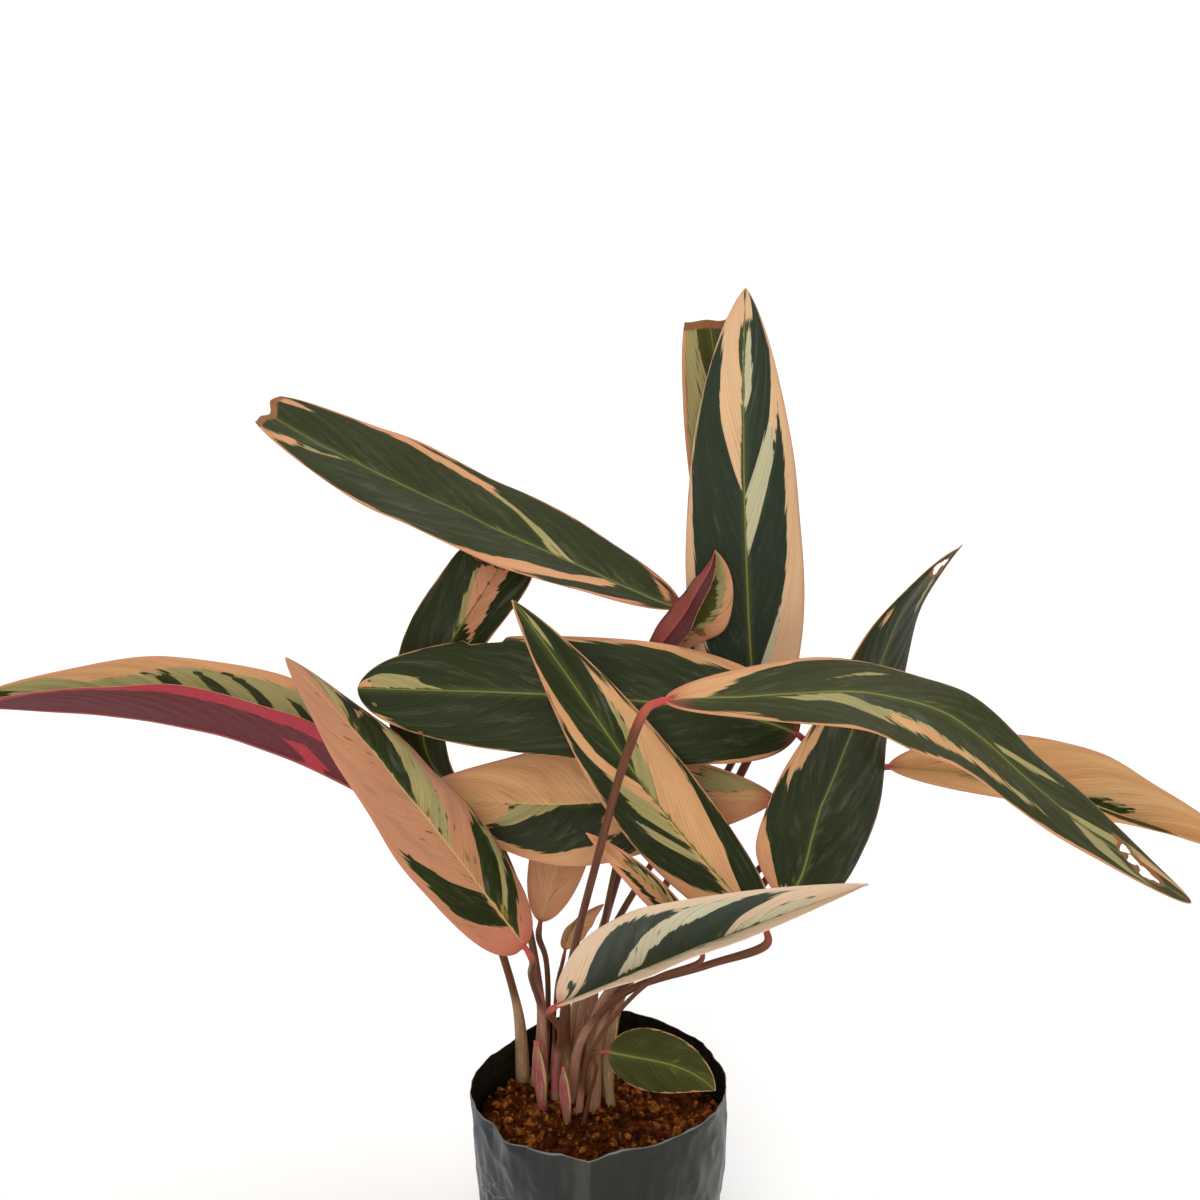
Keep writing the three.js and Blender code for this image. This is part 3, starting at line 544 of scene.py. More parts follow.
def pierce(holes, seed, u, v):
    """Move the grid's points out of each insect hole to its ragged edge. Returns the new u and v,
    which points were inside a hole, and how scorched each point is."""
    inside, scorched = np.zeros(u.shape, bool), np.zeros(u.shape)
    for hole_u, hole_v, reach_u, reach_v in holes:
        du, dv = (u - hole_u) / reach_u, (v - hole_v) / reach_v
        radius = np.hypot(du, dv)
        ragged = 1 + 0.25 * np.sin(3 * np.arctan2(dv, du) + seed)
        here = radius < ragged
        push = np.where(here, ragged / np.maximum(radius, 0.05), 1)
        u = np.where(here, hole_u + (u - hole_u) * push, u)
        v = np.where(here, hole_v + (v - hole_v) * push, v)
        inside |= here
        scorched = np.maximum(scorched, smooth(radius, 2.1, 1.0))
    return u, v, inside, scorched


def make_blade(name, leaf, marks, seed, materials):
    handles = cubic(leaf["midrib"])
    line = on_cubic(handles, np.linspace(0, 1, 60))
    length = np.linalg.norm(np.diff(line, axis=0), axis=1).sum()

    # The grid: rows closer together at both ends, columns closer together near the midrib.
    station = np.linspace(0, 1, int(length / BLADE["row_spacing"]) + 1)[:, None]
    station = blend(station, 0.5 - 0.5 * np.cos(math.pi * station), BLADE["crowding"])
    column = np.linspace(-1, 1, BLADE["columns"] + 1)[None, :]
    v = np.sign(column) * np.abs(column) ** BLADE["column_power"] + 0 * station
    tear = leaf.get("torn", 0) * (1.05 + 0.13 * random_waves(seed, v[0][:, None], 1.4))
    u, v, inside, scorched = pierce(marks["holes"], seed, station * (1 - tear), v)
    kept = ~(inside[:-1, :-1] & inside[1:, :-1] & inside[:-1, 1:] & inside[1:, 1:])

    side_vein, edge, pale, cream = markings(leaf, marks, length, u, v)
    for scar_u, scar_v, radius in marks["scars"]:
        distance = np.hypot((u - scar_u) * length, (v - scar_v) * leaf["width"] / 2)
        scorched = np.maximum(scorched, smooth(distance, radius, radius * 0.4))
    if "torn" in leaf:
        scorched = np.maximum(scorched, smooth((1 - tear - u) * length, 7, 1))

    sideways = v + sway_at(marks, u) * (1 - np.abs(v))
    for side, bite_u, bite_width, depth in marks["bites"]:
        bite = depth * smooth(np.abs(u - bite_u), bite_width, bite_width * 0.7)
        sideways = np.where((v < 0) == (side == "L"), sideways * (1 - bite * np.abs(v)), sideways)

    # The middle surface, raised into pleats between the side veins and into broad lumps.
    middle = blade_point(leaf, handles, u, sideways)
    normal = unit(np.cross(np.gradient(middle, axis=1), np.gradient(middle, axis=0)))
    along_veins = side_vein * length
    taper = np.sin(math.pi * np.clip(u, 0, 1))
    pleat = BLADE["pleat"] * np.sin(along_veins * ACROSS * 2 * math.pi / BLADE["pleat_length"])
    pleat = pleat * 3 * np.abs(v) * (1 - np.abs(v) ** 3) * taper
    lump = BLADE["lump"] * random_waves(seed + 7, middle, BLADE["lump_length"]) * taper
    lump = lump * min(1, leaf["width"] / BLADE["full_lump"])
    middle = middle + normal * (pleat + lump)[..., None]

    # The two faces, with a groove above the midrib and a round rib below it.
    half = half_width(leaf, u)
    from_rib = np.abs(v) * half
    groove = BLADE["groove"] * np.exp(-((from_rib / BLADE["groove_width"]) ** 2)) * (1 - u)
    rib = np.sqrt(np.maximum(blend(*BLADE["rib"], u) ** 2 - from_rib**2, 0))
    sheet = BLADE["thickness"] / 2 * (1 - 0.5 * v**8)
    upper = middle + normal * (sheet - groove)[..., None]
    lower = middle - normal * (sheet + rib)[..., None]

    quads, kinds = two_sided(kept, u.size)
    used, quads = np.unique(quads, return_inverse=True)
    points = np.concatenate([upper.reshape(-1, 3), lower.reshape(-1, 3)])[used]
    looks = {
        "vein": per_point(u.shape, along_veins, v * half, seed * 37.0),
        "lamina": per_point(u.shape, u, edge, marks["painted_sheen"]),
        "paint": per_point(u.shape, pale, cream, scorched),
        "tone": per_point(u.shape, marks["rosy"], marks["age"], marks["olive"]),
    }
    attributes = {key: np.concatenate([values, values])[used] for key, values in looks.items()}
    piece = add_mesh(f"leaf_{name}", points, quads.reshape(-1, 4), materials,
                     np.where(kinds == 1, 1, 0), attributes)
    place(piece, "pale_blade" if name in PALE_LEAVES else "green_blade", f"blade_{name}")


# ---- stalks and sheaths ----

def stalk_points(leaf):
    """Points of the stalk's curve, and points and radii further on, under the midrib."""
    points = [np.array(p, float) for p in leaf["stalk"]]
    foot = np.array([*leaf["foot"], SOIL_LEVEL], float)
    root = foot - unit(points[0] - foot) * STALK["root_depth"]
    if "top" in leaf:
        return [root, foot, *points, np.array(leaf["top"], float)], np.empty((0, 3)), []
    handles = cubic(leaf["midrib"])
    base = handles[0]
    along, out, _ = blade_frame(leaf, handles, np.array(0.0))
    arrive = unit(unit(base - points[-1]) + STALK["turn"] * along)
    neck, top = base - STALK["neck"] * arrive, base - STALK["seat"] * arrive
    shares = np.linspace(0.012, 0.012 + STALK["run_under"] / 250, 6)
    tail = np.linspace(0.62 * leaf["radius"], 0.8, len(shares))
    under = on_cubic(handles, shares) - out * (tail + 0.15)[:, None]
    return [root, foot, *points, neck, top], under, tail


def stalk_radius(leaf, t):
    if "top" in leaf:
        return leaf["radius"] * blend(STALK["sheathed"], STALK["papery"], t)
    sheath = blend(STALK["sheathed"], STALK["bare"], smooth(t, 0.1, 0.45))
    neck = STALK["neck_swell"] * smooth(t, 0.8, 0.93)
    return leaf["radius"] * (sheath + neck - STALK["top_taper"] * smooth(t, 0.95, 1))


def resample(points, step):
    spans = np.linalg.norm(np.diff(points, axis=0), axis=1)
    distance = np.concatenate([[0], np.cumsum(spans)])
    stations = np.linspace(0, distance[-1], max(8, int(distance[-1] / step)) + 1)
    return np.stack([np.interp(stations, distance, points[:, k]) for k in range(3)], -1), stations


def carried_frames(line):
    """Two directions across the line at each point, turned as little as can be."""
    along = unit(np.gradient(line, axis=0))
    across = unit(np.cross(along[0], [0.3, 1, 0.1]))
    first, second = [], []
    for direction in along:
        across = unit(across - direction * (across @ direction))
        first.append(across)
        second.append(np.cross(direction, across))
    return np.array(first), np.array(second)


def make_stalk(name, leaf, seed, material, looks, slot, node):
    controls, under, tail = stalk_points(leaf)
    curve = np.array([catmull_rom(controls, t) for t in np.linspace(0, 1, 160)])
    line, stations = resample(curve, STALK["step"])
    t = stations / stations[-1]
    radius = np.concatenate([stalk_radius(leaf, t), tail])[:, None]
    line = np.concatenate([line, under])
    t = np.concatenate([t, np.ones(len(under))])
    stations = np.concatenate([stations, stations[-1] + np.arange(1, len(under) + 1) * 1.5])
    first, second = carried_frames(line)
    rings, sides = len(line), STALK["sides"]
    turn = np.arange(sides) / sides
    angle = 2 * math.pi * turn

    # The sheath is rolled round the stalk, and its free edge stands out up to sheath_end.
    rng = np.random.default_rng(seed)
    free_edge = rng.uniform(0.6, 0.9)
    wrap = (turn - free_edge - STALK["edge_winds"] * t[:, None]) % 1
    sheath_end = looks["sheath_end"]
    wrapped = 1 - smooth(t, sheath_end - 0.12, sheath_end)
    wrapped = wrapped * smooth(stations, *STALK["edge_from"])
    lift = STALK["overlap"] * wrap**3 * wrapped[:, None]
    lobes = STALK["lobes"] * np.sin(3 * angle + rng.uniform(0, 6))
    reach = radius * (STALK["slim"] + lift + lobes)
    if "top" in leaf:
        # the papery part is pressed flat and runs out in a point
        wide = STALK["flat"] * smooth(t, 0.3, 0.7) * smooth(t, 1.0, 0.8)
        reach = reach * (1 + wide[:, None] * np.cos(angle) ** 2)
    points = (line[:, None] + first[:, None] * (reach * np.cos(angle))[..., None]
              + second[:, None] * (reach * np.sin(angle))[..., None]).reshape(-1, 3)

    faces = ring_quads(rings, sides).tolist()
    faces += [list(range(sides))[::-1], list(range(len(points) - sides, len(points)))]
    shape = (rings, sides)
    piece = add_mesh(name, points, faces, [material], attributes={
        "stem": per_point(shape, t[:, None], stations[:, None], wrap),
        "ring": per_point(shape, turn, seed, 0),
        "tone": per_point(shape, sheath_end, looks["pink"], looks["neck_red"]),
    })
    place(piece, slot, node)


# ---- bag and soil ----

BAG_PROFILE = [(0, 56), (4, 61), (14, 64), (45, 65.5), (80, 67.5), (104, 69.5), (130, 71.5)]
BAG = {"around": 320, "levels": 96, "film": 0.4, "inset": 0.5, "corner": 0.035,
       "crease_x": -5.0, "crease": 1.2, "crease_width": 5.0, "dent": 1.1, "swell": 0.4,
       "crinkle": 0.95, "flat_below": 12.0, "rim_from": 84.0,
       "crinkles": ((11, 46, 1.3), (12, 24, 0.9), (13, 12, 0.4))}  # seed, length and depth
# The open rim as (degrees from +X, radius, height).
RIM = [(-180, 70.5, 130), (-172, 71.5, 130), (-164, 72, 130), (-153, 71, 130), (-146, 69.2, 130.3),
       (-135, 70.5, 130), (-131, 70, 130), (-124, 67.5, 130.6), (-114, 67.2, 130.6),
       (-107, 66.2, 131.5), (-94.5, 68.8, 131.6), (-86, 65.5, 133), (-80, 64.5, 134),
       (-60, 66, 134), (-45, 67, 133), (-20, 70, 131), (0, 71, 130), (45, 68, 130), (90, 71, 130),
       (135, 63.5, 131.5), (146, 62, 131.3), (156, 64, 131.5), (168, 69, 130.5), (180, 70.5, 130)]


def around_z(theta, radius, z):
    return np.stack([radius * np.cos(theta), radius * np.sin(theta), z], -1)


def rim_at(theta):
    degrees, radius, height = np.array(RIM).T
    turn = (np.degrees(theta) + 180) % 360 - 180
    return np.interp(turn, degrees, radius), np.interp(turn, degrees, height)


def wall_radius(theta, z):
    """The film's outer radius, without its crinkles."""
    levels, radii = np.array(BAG_PROFILE).T
    square = 1 + BAG["corner"] * np.cos(4 * theta)
    base = np.interp(z, levels, radii) * square - BAG["inset"]
    top, height = rim_at(theta)
    return blend(base, top, smooth(z, BAG["rim_from"], height))


def film_radius(theta, z):
    """The film's outer radius with its crease, dents and crinkles, the places where it was taken
    and how far they are off the crease."""
    radius = wall_radius(theta, z)
    where = around_z(theta, radius, z * 0.6)
    off_crease = np.abs(where[..., 0] - BAG["crease_x"])
    crease = BAG["crease"] * np.exp(-off_crease / BAG["crease_width"]) * (where[..., 1] < 0)
    crinkle = sum(size * np.abs(random_waves(seed, where, length)) ** 0.8
                  for seed, length, size in BAG["crinkles"])
    dents = BAG["dent"] * random_waves(14, where, 70)
    relief = crease + dents + BAG["swell"] - BAG["crinkle"] * crinkle
    return radius + relief * smooth(z, 0, BAG["flat_below"]), where, off_crease


def narrowest_film(theta, height, spread, turn=0.0):
    """The least radius of the film within a spread of heights, and of angles, around a place."""
    return np.min([film_radius(theta + side, theta * 0 + height + rise)[0]
                   for rise in np.linspace(-spread, spread, 5) for side in (-turn, 0, turn)],
                  axis=0)


def make_bag(outside, inside):
    around, levels = BAG["around"], BAG["levels"]
    theta = np.linspace(-math.pi, math.pi, around, endpoint=False)[None, :]
    _, rim_height = rim_at(theta)
    share = np.linspace(0, 1, levels)[:, None] ** 0.9
    fray = 0.5 * random_waves(5, np.stack([np.cos(theta), np.sin(theta)], -1)[0] * 9, 2.0)
    z = share * (rim_height + fray)
    radius, where, off_crease = film_radius(theta, z)

    def shell(offset):
        return around_z(theta, radius - offset, np.maximum(z, offset)).reshape(-1, 3)

    outer, inner = shell(0), shell(BAG["film"])
    out_faces = ring_quads(levels, around)
    in_faces = out_faces[:, ::-1] + len(outer)
    d, c = out_faces[-around:, 2:].T
    rim_faces = np.stack([c, d, d + len(outer), c + len(outer)], -1)
    faces = np.concatenate([out_faces, in_faces, rim_faces]).tolist()
    faces += [list(range(around))[::-1], [len(outer) + k for k in range(around)]]
    kinds = [0] * len(out_faces) + [1] * len(in_faces) + [0] * len(rim_faces) + [0, 1]
    # the front panel past the crease, which the outside shader paints darker as painted shade
    right = (where[..., 0] > BAG["crease_x"]) * smooth(-where[..., 1], 0, 25)
    film = per_point(z.shape, rim_height - z, off_crease, right)
    bag = add_mesh("nursery_bag", np.concatenate([outer, inner]), faces, [outside, inside], kinds,
                   {"film": np.concatenate([film, film])})
    place(bag, "film", "bag")


SOIL = {"around": 200, "rings": 84, "gap": 0.9, "slack": 1.5, "bottom": 3.0, "edge_drop": 1.5,
        "waves": ((21, 16, 1.1), (22, 7, 0.8), (23, 3.4, 0.45))}  # seed, length and height
# Large clods as (x, y, radius), then how many of each size are strewn about.
BIG_CLODS = [(-26, -19, 5.2), (-57, -6, 5.0), (-2, -15, 3.4), (-38, -30, 3.6), (22, -34, 3.0),
             (30, 10, 4.0), (-44, -12, 3.2)]
CLODS = [(60, 2.2, 3.2), (260, 1.3, 2.2), (700, 0.6, 1.3)]
STREWN_WITHIN = 66.0
CLOD = {"seed": 77, "rough": 0.16, "stretch": (0.75, 1.15), "sunk": (0.1, 0.5), "to_film": 0.8}


def soil_height(x, y):
    ground = SOIL_LEVEL + np.sin(x / 9 + 1) * np.cos(y / 11) + 0.5 * np.sin(x / 4 - y / 5)
    where = np.stack([x, y], -1)
    bumps = sum(size * random_waves(seed, where, length) for seed, length, size in SOIL["waves"])
    mound = 2.5 * np.exp(-(((x + 12) / 26) ** 2) - ((y - 22) / 30) ** 2)
    return ground + bumps + mound


def height_at(x, y):
    return float(soil_height(np.array([x]), np.array([y]))[0])


def ball(level):
    """A geodesic ball: its points and triangles."""
    mesh = bmesh.new()
    bmesh.ops.create_icosphere(mesh, subdivisions=level, radius=1)
    points = np.array([tuple(vertex.co) for vertex in mesh.verts])
    faces = np.array([[vertex.index for vertex in face.verts] for face in mesh.faces])
    mesh.free()
    return points, faces


def soil_body():
    """The soil without its clods: a rough top and a wall down inside the film."""
    around, rings = SOIL["around"], SOIL["rings"]
    theta = np.linspace(-math.pi, math.pi, around, endpoint=False)
    reach = narrowest_film(theta, SOIL_LEVEL, 4) - SOIL["gap"]
    share = (np.arange(1, rings + 1) / rings)[:, None]
    x, y = share * reach * np.cos(theta), share * reach * np.sin(theta)
    z = soil_height(x, y) - SOIL["edge_drop"] * smooth(share, 0.9, 1.0)
    points = [np.array([[0, 0, height_at(0.0, 0.0)]]), np.stack([x, y, z], -1).reshape(-1, 3)]
    heights = (100, 92, 84, 76, 66, 56, 46, 36, 26, 16, 8, SOIL["bottom"])
    for height in heights:
        r = narrowest_film(theta, height, 5) - SOIL["gap"] - SOIL["slack"]
        points.append(around_z(theta, r, theta * 0 + height))
    points = np.concatenate(points)
    fan = [[0, 1 + i, 1 + (i + 1) % around] for i in range(around)]
    quads = (ring_quads(rings + len(heights), around)[:, [0, 3, 2, 1]] + 1).tolist()
    floor = list(range(len(points) - around, len(points)))[::-1]
    return points, [*fan, *quads, floor]


def strewn_clods(rng):
    """Every clod as its x, y, radius and the fineness of its ball."""
    clods = [(x, y, size, 3) for x, y, size in BIG_CLODS]
    for number, low, high in CLODS:
        for _ in range(number):
            distance = STREWN_WITHIN * math.sqrt(rng.uniform(0, 1))
            angle, size = rng.uniform(0, 2 * math.pi), rng.uniform(low, high)
            clods.append((distance * math.cos(angle), distance * math.sin(angle), size,
                          2 if size > 1.3 else 1))
    return clods


def make_soil(material):
    body, faces = soil_body()
    points, shade, count = [body], [np.zeros(len(body))], len(body)
    rng = np.random.default_rng(CLOD["seed"])
    balls = {level: ball(level) for level in (1, 2, 3)}
    for number, (x, y, size, level) in enumerate(strewn_clods(rng)):
        ball_points, ball_faces = balls[level]
        rough = 1 + CLOD["rough"] * random_waves(number + 900, ball_points, 1.1)
        if level == 3:
            rough = rough + 0.07 * random_waves(number + 1900, ball_points, 0.35)
        stretch = rng.uniform(*CLOD["stretch"], 3)
        # a clod that would touch the film is moved inward
        towards = np.array([math.atan2(y, x)])
        wall = narrowest_film(towards, SOIL_LEVEL + size / 4, size * 1.5, size / 65)[0]
        limit = float(wall) - CLOD["to_film"] - size * 1.35
        inward = min(1, limit / max(math.hypot(x, y), 1))
        x, y = x * inward, y * inward
        spot = np.array([x, y, height_at(x, y) + size * rng.uniform(*CLOD["sunk"])])
        points.append(ball_points * rough[:, None] * stretch * size + spot)
        faces += (ball_faces + count).tolist()
        shade.append(np.full(len(ball_points), rng.uniform(-1, 1)))
        count += len(ball_points)
    soil = add_mesh("potting_soil", np.concatenate(points), faces, [material],
                    attributes={"shade": np.concatenate(shade)})
    place(soil, "soil", "soil")


# ---- materials ----

def colour(red, green, blue):
    """A colour from the 0 to 255 values of a screen, as the shader wants it."""
    def linear(value):
        share = value / 255
        return share / 12.92 if share <= 0.04045 else ((share + 0.055) / 1.055) ** 2.4
    return (linear(red), linear(green), linear(blue), 1.0)


class Signal:
    """A node's output, which can be used in sums and products like a number."""

    def __init__(self, shader, socket):
        self.shader, self.socket = shader, socket

    def __add__(self, other):
        return self.shader.math("ADD", self, other)

    def __sub__(self, other):
        return self.shader.math("SUBTRACT", self, other)

    def __mul__(self, other):
        return self.shader.math("MULTIPLY", self, other)

    def step(self, low, high, top=1.0, bottom=0.0):
        """A soft step from bottom, where the signal is at low, to top, where it is at high."""
        return self.shader.node("MapRange", {0: self, 1: low, 2: high, 3: bottom, 4: top},
                                interpolation_type="SMOOTHSTEP")


class Shader:
    """A material whose nodes are added one call at a time."""

    def __init__(self, name, specular=0.5):
        self.material = bpy.data.materials.new(name)
        self.material.use_nodes = True
        self.tree = self.material.node_tree
        self.tree.nodes.clear()
        output = self.tree.nodes.new("ShaderNodeOutputMaterial")
        self.surface = self.tree.nodes.new("ShaderNodeBsdfPrincipled")
        self.surface.inputs["Specular IOR Level"].default_value = specular
        self.tree.links.new(self.surface.outputs[0], output.inputs[0])

    def put(self, socket, value):
        if isinstance(value, Signal):
            self.tree.links.new(value.socket, socket)
        else:
            socket.default_value = value

    def node(self, kind, inputs, output=0, **settings):
        node = self.tree.nodes.new("ShaderNode" + kind)
        for key, value in settings.items():
            setattr(node, key, value)
        for key, value in inputs.items():
            self.put(node.inputs[key], value)
        return Signal(self, node.outputs[output])

    def math(self, operation, *values):
        return self.node("Math", dict(enumerate(values)), operation=operation)

    def mix(self, factor, a, b):
        """From a, where the factor is 0, to b. Either is a signal, a colour as three screen
        values or one as the shader wants it."""
        a, b = (colour(*x) if isinstance(x, tuple) and len(x) == 3 else x for x in (a, b))
        return self.node("Mix", {0: factor, 6: a, 7: b}, output=2, data_type="RGBA")

    def layers(self, base, *coats):
        """The base with each (factor, colour) laid over it in turn."""
        for factor, coat in coats:
            base = self.mix(factor, base, coat)
        return base

    def attribute(self, name):
        """The three parts of a vector that is stored for each point."""
        split = self.node("SeparateXYZ", {
            0: self.node("Attribute", {}, output=1, attribute_name=name)}).socket.node
        return (Signal(self, output) for output in split.outputs)

    def vector(self, x, y, z):
        return self.node("CombineXYZ", {0: x, 1: y, 2: z})

    def noise(self, vector, scale, detail=2.0, roughness=0.5):
        return self.node("TexNoise", {"Vector": vector, "Scale": scale, "Detail": detail,
                                      "Roughness": roughness})

    def place(self):
        return self.node("TexCoord", {}, output=3)

    def finish(self, base, roughness, height=None, strength=0.0, distance=0.0):
        """Join the colour, the roughness and a relief, of a depth in metres, to the surface."""
        self.put(self.surface.inputs["Base Color"], base)
        self.put(self.surface.inputs["Roughness"], roughness)
        if height is not None:
            self.put(self.surface.inputs["Normal"], self.node(
                "Bump", {"Height": height, "Strength": strength, "Distance": distance}))
        return self.material


def blade_masks(s):
    """What both faces of a blade share: coordinates in millimetres, noise that is streaked along
    the veins, and the masks of the markings."""
    q, across, number = s.attribute("vein")
    u, edge, painted_sheen = s.attribute("lamina")
    pale, cream, scorched = s.attribute("paint")
    rosy, age, olive = s.attribute("tone")

    def streaks(per_vein, per_mm, detail=3.0, roughness=0.5):
        return s.noise(s.vector(q * per_vein, across * per_mm, number), 1.0, detail, roughness)

    fine, broad = streaks(0.9, 0.06, 3.0, 0.6), streaks(0.2, 0.05, 2.0)

    def vein_lines(spacing, wander):
        return s.math("SINE", q * (2 * math.pi * ACROSS / spacing) + broad * wander)

    jag = (fine - 0.5) * 1.3 + (broad - 0.5) * 3.0
    return SimpleNamespace(
        q=q, across=across, number=number, u=u, edge=edge, painted_sheen=painted_sheen, rosy=rosy, age=age,
        olive=olive, streaks=streaks, fine=fine, broad=broad, lines=vein_lines(1.15, 9.0),
        veins=vein_lines(VEIN_SPACING, 6.0), from_rib=s.math("ABSOLUTE", across),
        pale=(pale + jag).step(-0.22, 0.22), cream=(cream + jag * 0.8).step(-0.35, 0.35),
        burnt=(scorched + (fine - 0.5) * 0.8).step(0.35, 0.6))


def upper_face(name, gloss):
    s = Shader(name, gloss)
    m = blade_masks(s)
    spread, mottle = m.streaks(0.03, 0.04), m.streaks(0.12, 0.12, 4.0, 0.6)
    dust = m.streaks(0.05, 0.09, 5.0, 0.7)

    beside_rib = (m.from_rib - m.fine * 6.0).step(1.0, -4.0)
    green = s.layers(
        s.mix(spread, (18, 25, 9), (40, 45, 14)),
        (m.olive * 0.8, (78, 74, 26)),
        (mottle.step(0.48, 0.78, 0.55), (66, 74, 42)),
        # painted sheen: the green greyed towards blue, as light shone off a glossy blade
        (m.painted_sheen * 0.7, (46, 58, 54)),
        (m.fine.step(0.45, 0.75, 0.25), (62, 74, 38)),
        (dust.step(0.54, 0.72, 0.4), (96, 100, 88)),
        (beside_rib * 0.4, (92, 98, 44)),
        (m.lines.step(0.5, 1.0, 0.12), (84, 94, 58)))
    sage = s.layers(s.mix(m.broad, (118, 116, 72), (168, 160, 108)),
                    # painted sheen: the sage paled towards white, as light shone off a glossy blade
                    (m.painted_sheen * 0.85, (204, 204, 178)))
    near_margin = (m.edge - m.broad * 3.0).step(2.0, -0.5, 0.35)
    near_base = (m.u + m.broad * 0.12).step(0.26, 0.08)
    cream = s.layers(
        s.mix(spread.step(0.35, 0.65), (212, 171, 118), (196, 150, 98)),
        (m.rosy * 0.8, (204, 136, 108)),
        (m.age * 0.75, (168, 118, 90)),
        (m.fine.step(0.45, 0.8, 0.35), (186, 124, 84)),
        (mottle.step(0.5, 0.8, 0.5), (190, 128, 94)),
        (dust.step(0.5, 0.62) * (m.age * 0.55), (158, 112, 84)),
        (near_margin, (198, 126, 104)),
        # painted sheen: the cream paled towards white, as light shone off a glossy blade
        (m.painted_sheen * m.painted_sheen * 0.8, (226, 206, 180)),
        (near_base * (m.rosy * 0.7), (192, 104, 86)))
    pale = s.layers(
        s.mix(m.cream, sage, cream),
        (m.lines.step(0.55, 1.0, 0.2), (168, 112, 72)),
        (m.veins.step(0.86, 1.0, 0.45), (166, 108, 64)))

    rib_width = s.node("MapRange", {0: m.u, 1: 0.0, 2: 1.0, 3: 1.0, 4: 0.3})
    rib = s.math("DIVIDE", m.from_rib, rib_width).step(1.0, 0.4)
    foot = (m.u + m.broad * 0.05).step(0.065, 0.02)
    cell = s.vector(m.q * 0.17, m.across * 0.1, m.number)
    off_centre, drawn = (s.node("TexVoronoi", {"Vector": cell, "Scale": 1.0}, output=k)
                         for k in (0, 1))
    chosen = s.math("LESS_THAN", s.node("SeparateColor", {0: drawn}), m.age * 0.65)
    speck = (off_centre + m.fine * 0.1).step(0.26, 0.16) * chosen
    yellowing = m.from_rib.step(9.0, 3.0) * mottle.step(0.6, 0.7)
    base = s.layers(
        s.mix(m.pale, green, pale),
        (rib * 0.65, s.mix(m.pale, (124, 128, 66), (190, 168, 104))),
        (foot * 0.6, (168, 70, 66)),
        (speck * m.pale.step(0.0, 1.0, 0.75, 0.2), (104, 68, 38)),
        (yellowing * (m.age * 1.4), (122, 104, 30)),
        (m.burnt, s.mix(m.broad, (104, 66, 36), (150, 104, 66))))
    roughness = m.fine.step(0.2, 0.8, 0.46, 0.34) + m.pale * 0.08
    return s.finish(base, roughness, m.lines * 0.35 + m.fine * 0.9, 0.35, 0.00035)


def lower_face():
    s = Shader("blade_lower", 0.12)
    m = blade_masks(s)
    dark = s.layers(s.mix(m.broad, (78, 28, 34), (102, 40, 46)),
                    (m.olive * 0.7, (70, 28, 26)),
                    (m.fine.step(0.45, 0.8, 0.4), (120, 60, 64)))
    bright = s.layers(s.mix(m.broad, (154, 30, 52), (180, 52, 68)), (m.olive, (128, 62, 52)))
    base = s.layers(s.mix(m.pale, dark, bright),
                    (m.lines.step(0.5, 1.0, 0.14), (150, 82, 80)),
                    (m.from_rib.step(1.3, 0.7) * 0.7, (158, 84, 76)),
                    (m.burnt, (120, 76, 46)))
    roughness = m.fine.step(0.2, 0.8, 0.56, 0.42)
    return s.finish(base, roughness, m.lines * 0.6 + m.fine * 0.6, 0.4, 0.00035)


def stalk_skin():
    s = Shader("stalk_skin", 0.15)
    t, run, wrap = s.attribute("stem")
    turn, number, _ = s.attribute("ring")
    sheath_end, pink, neck_red = s.attribute("tone")
    circle = turn * (2 * math.pi)
    cosine = s.math("COSINE", circle)
    around = s.vector(cosine, s.math("SINE", circle), run * 0.02 + number * 3.7)
    streak = s.noise(around, 2.6, 3.0, 0.6)
    blotch = s.noise(s.vector(run * 0.05, turn * 2.0, number), 1.0, 3.0)
    straw = s.noise(around, 5.0, 2.0).step(0.58, 0.66)

    bare = s.layers(s.mix(blotch, (84, 47, 32), (106, 67, 47)),
                    (streak.step(0.45, 0.7, 0.6), (100, 82, 50)),
                    (streak.step(0.5, 0.25, 0.6), (108, 46, 38)))
    green_sheath = s.mix(streak, (128, 108, 78), (166, 136, 102))
    pink_sheath = s.mix(streak, (128, 38, 62), (192, 104, 114))
    rolled = s.layers(s.mix(pink * 0.9, green_sheath, pink_sheath),
                      (blotch.step(0.45, 0.6, 0.75), (146, 118, 84)),
                      (straw * 0.6, (202, 166, 118)))
    in_sheath = (t + streak * 0.08 - sheath_end).step(0.05, -0.03)
    dry_edge = (wrap + streak * 0.14).step(0.84, 0.96) * in_sheath
    papery = sheath_end.step(1.0, 1.05) * t.step(0.3, 0.6)
    flat_edge = (s.math("ABSOLUTE", cosine) + streak * 0.3).step(1.0, 1.14)
    soiled = (run + blotch * 8.0).step(28.0, 18.0, 0.7)
    base = s.layers(
        s.mix(in_sheath, bare, rolled),
        (dry_edge * 0.9, (222, 188, 134)),
        (papery * flat_edge, (220, 182, 128)),
        (t.step(0.92, 0.98) * neck_red, (170, 82, 66)),
        (t.step(0.975, 0.995, 0.6) * neck_red, (176, 44, 60)),
        (soiled, (84, 52, 32)))
    return s.finish(base, blotch.step(0.2, 0.8, 0.55, 0.38), streak + dry_edge * 0.5, 0.4, 0.0004)


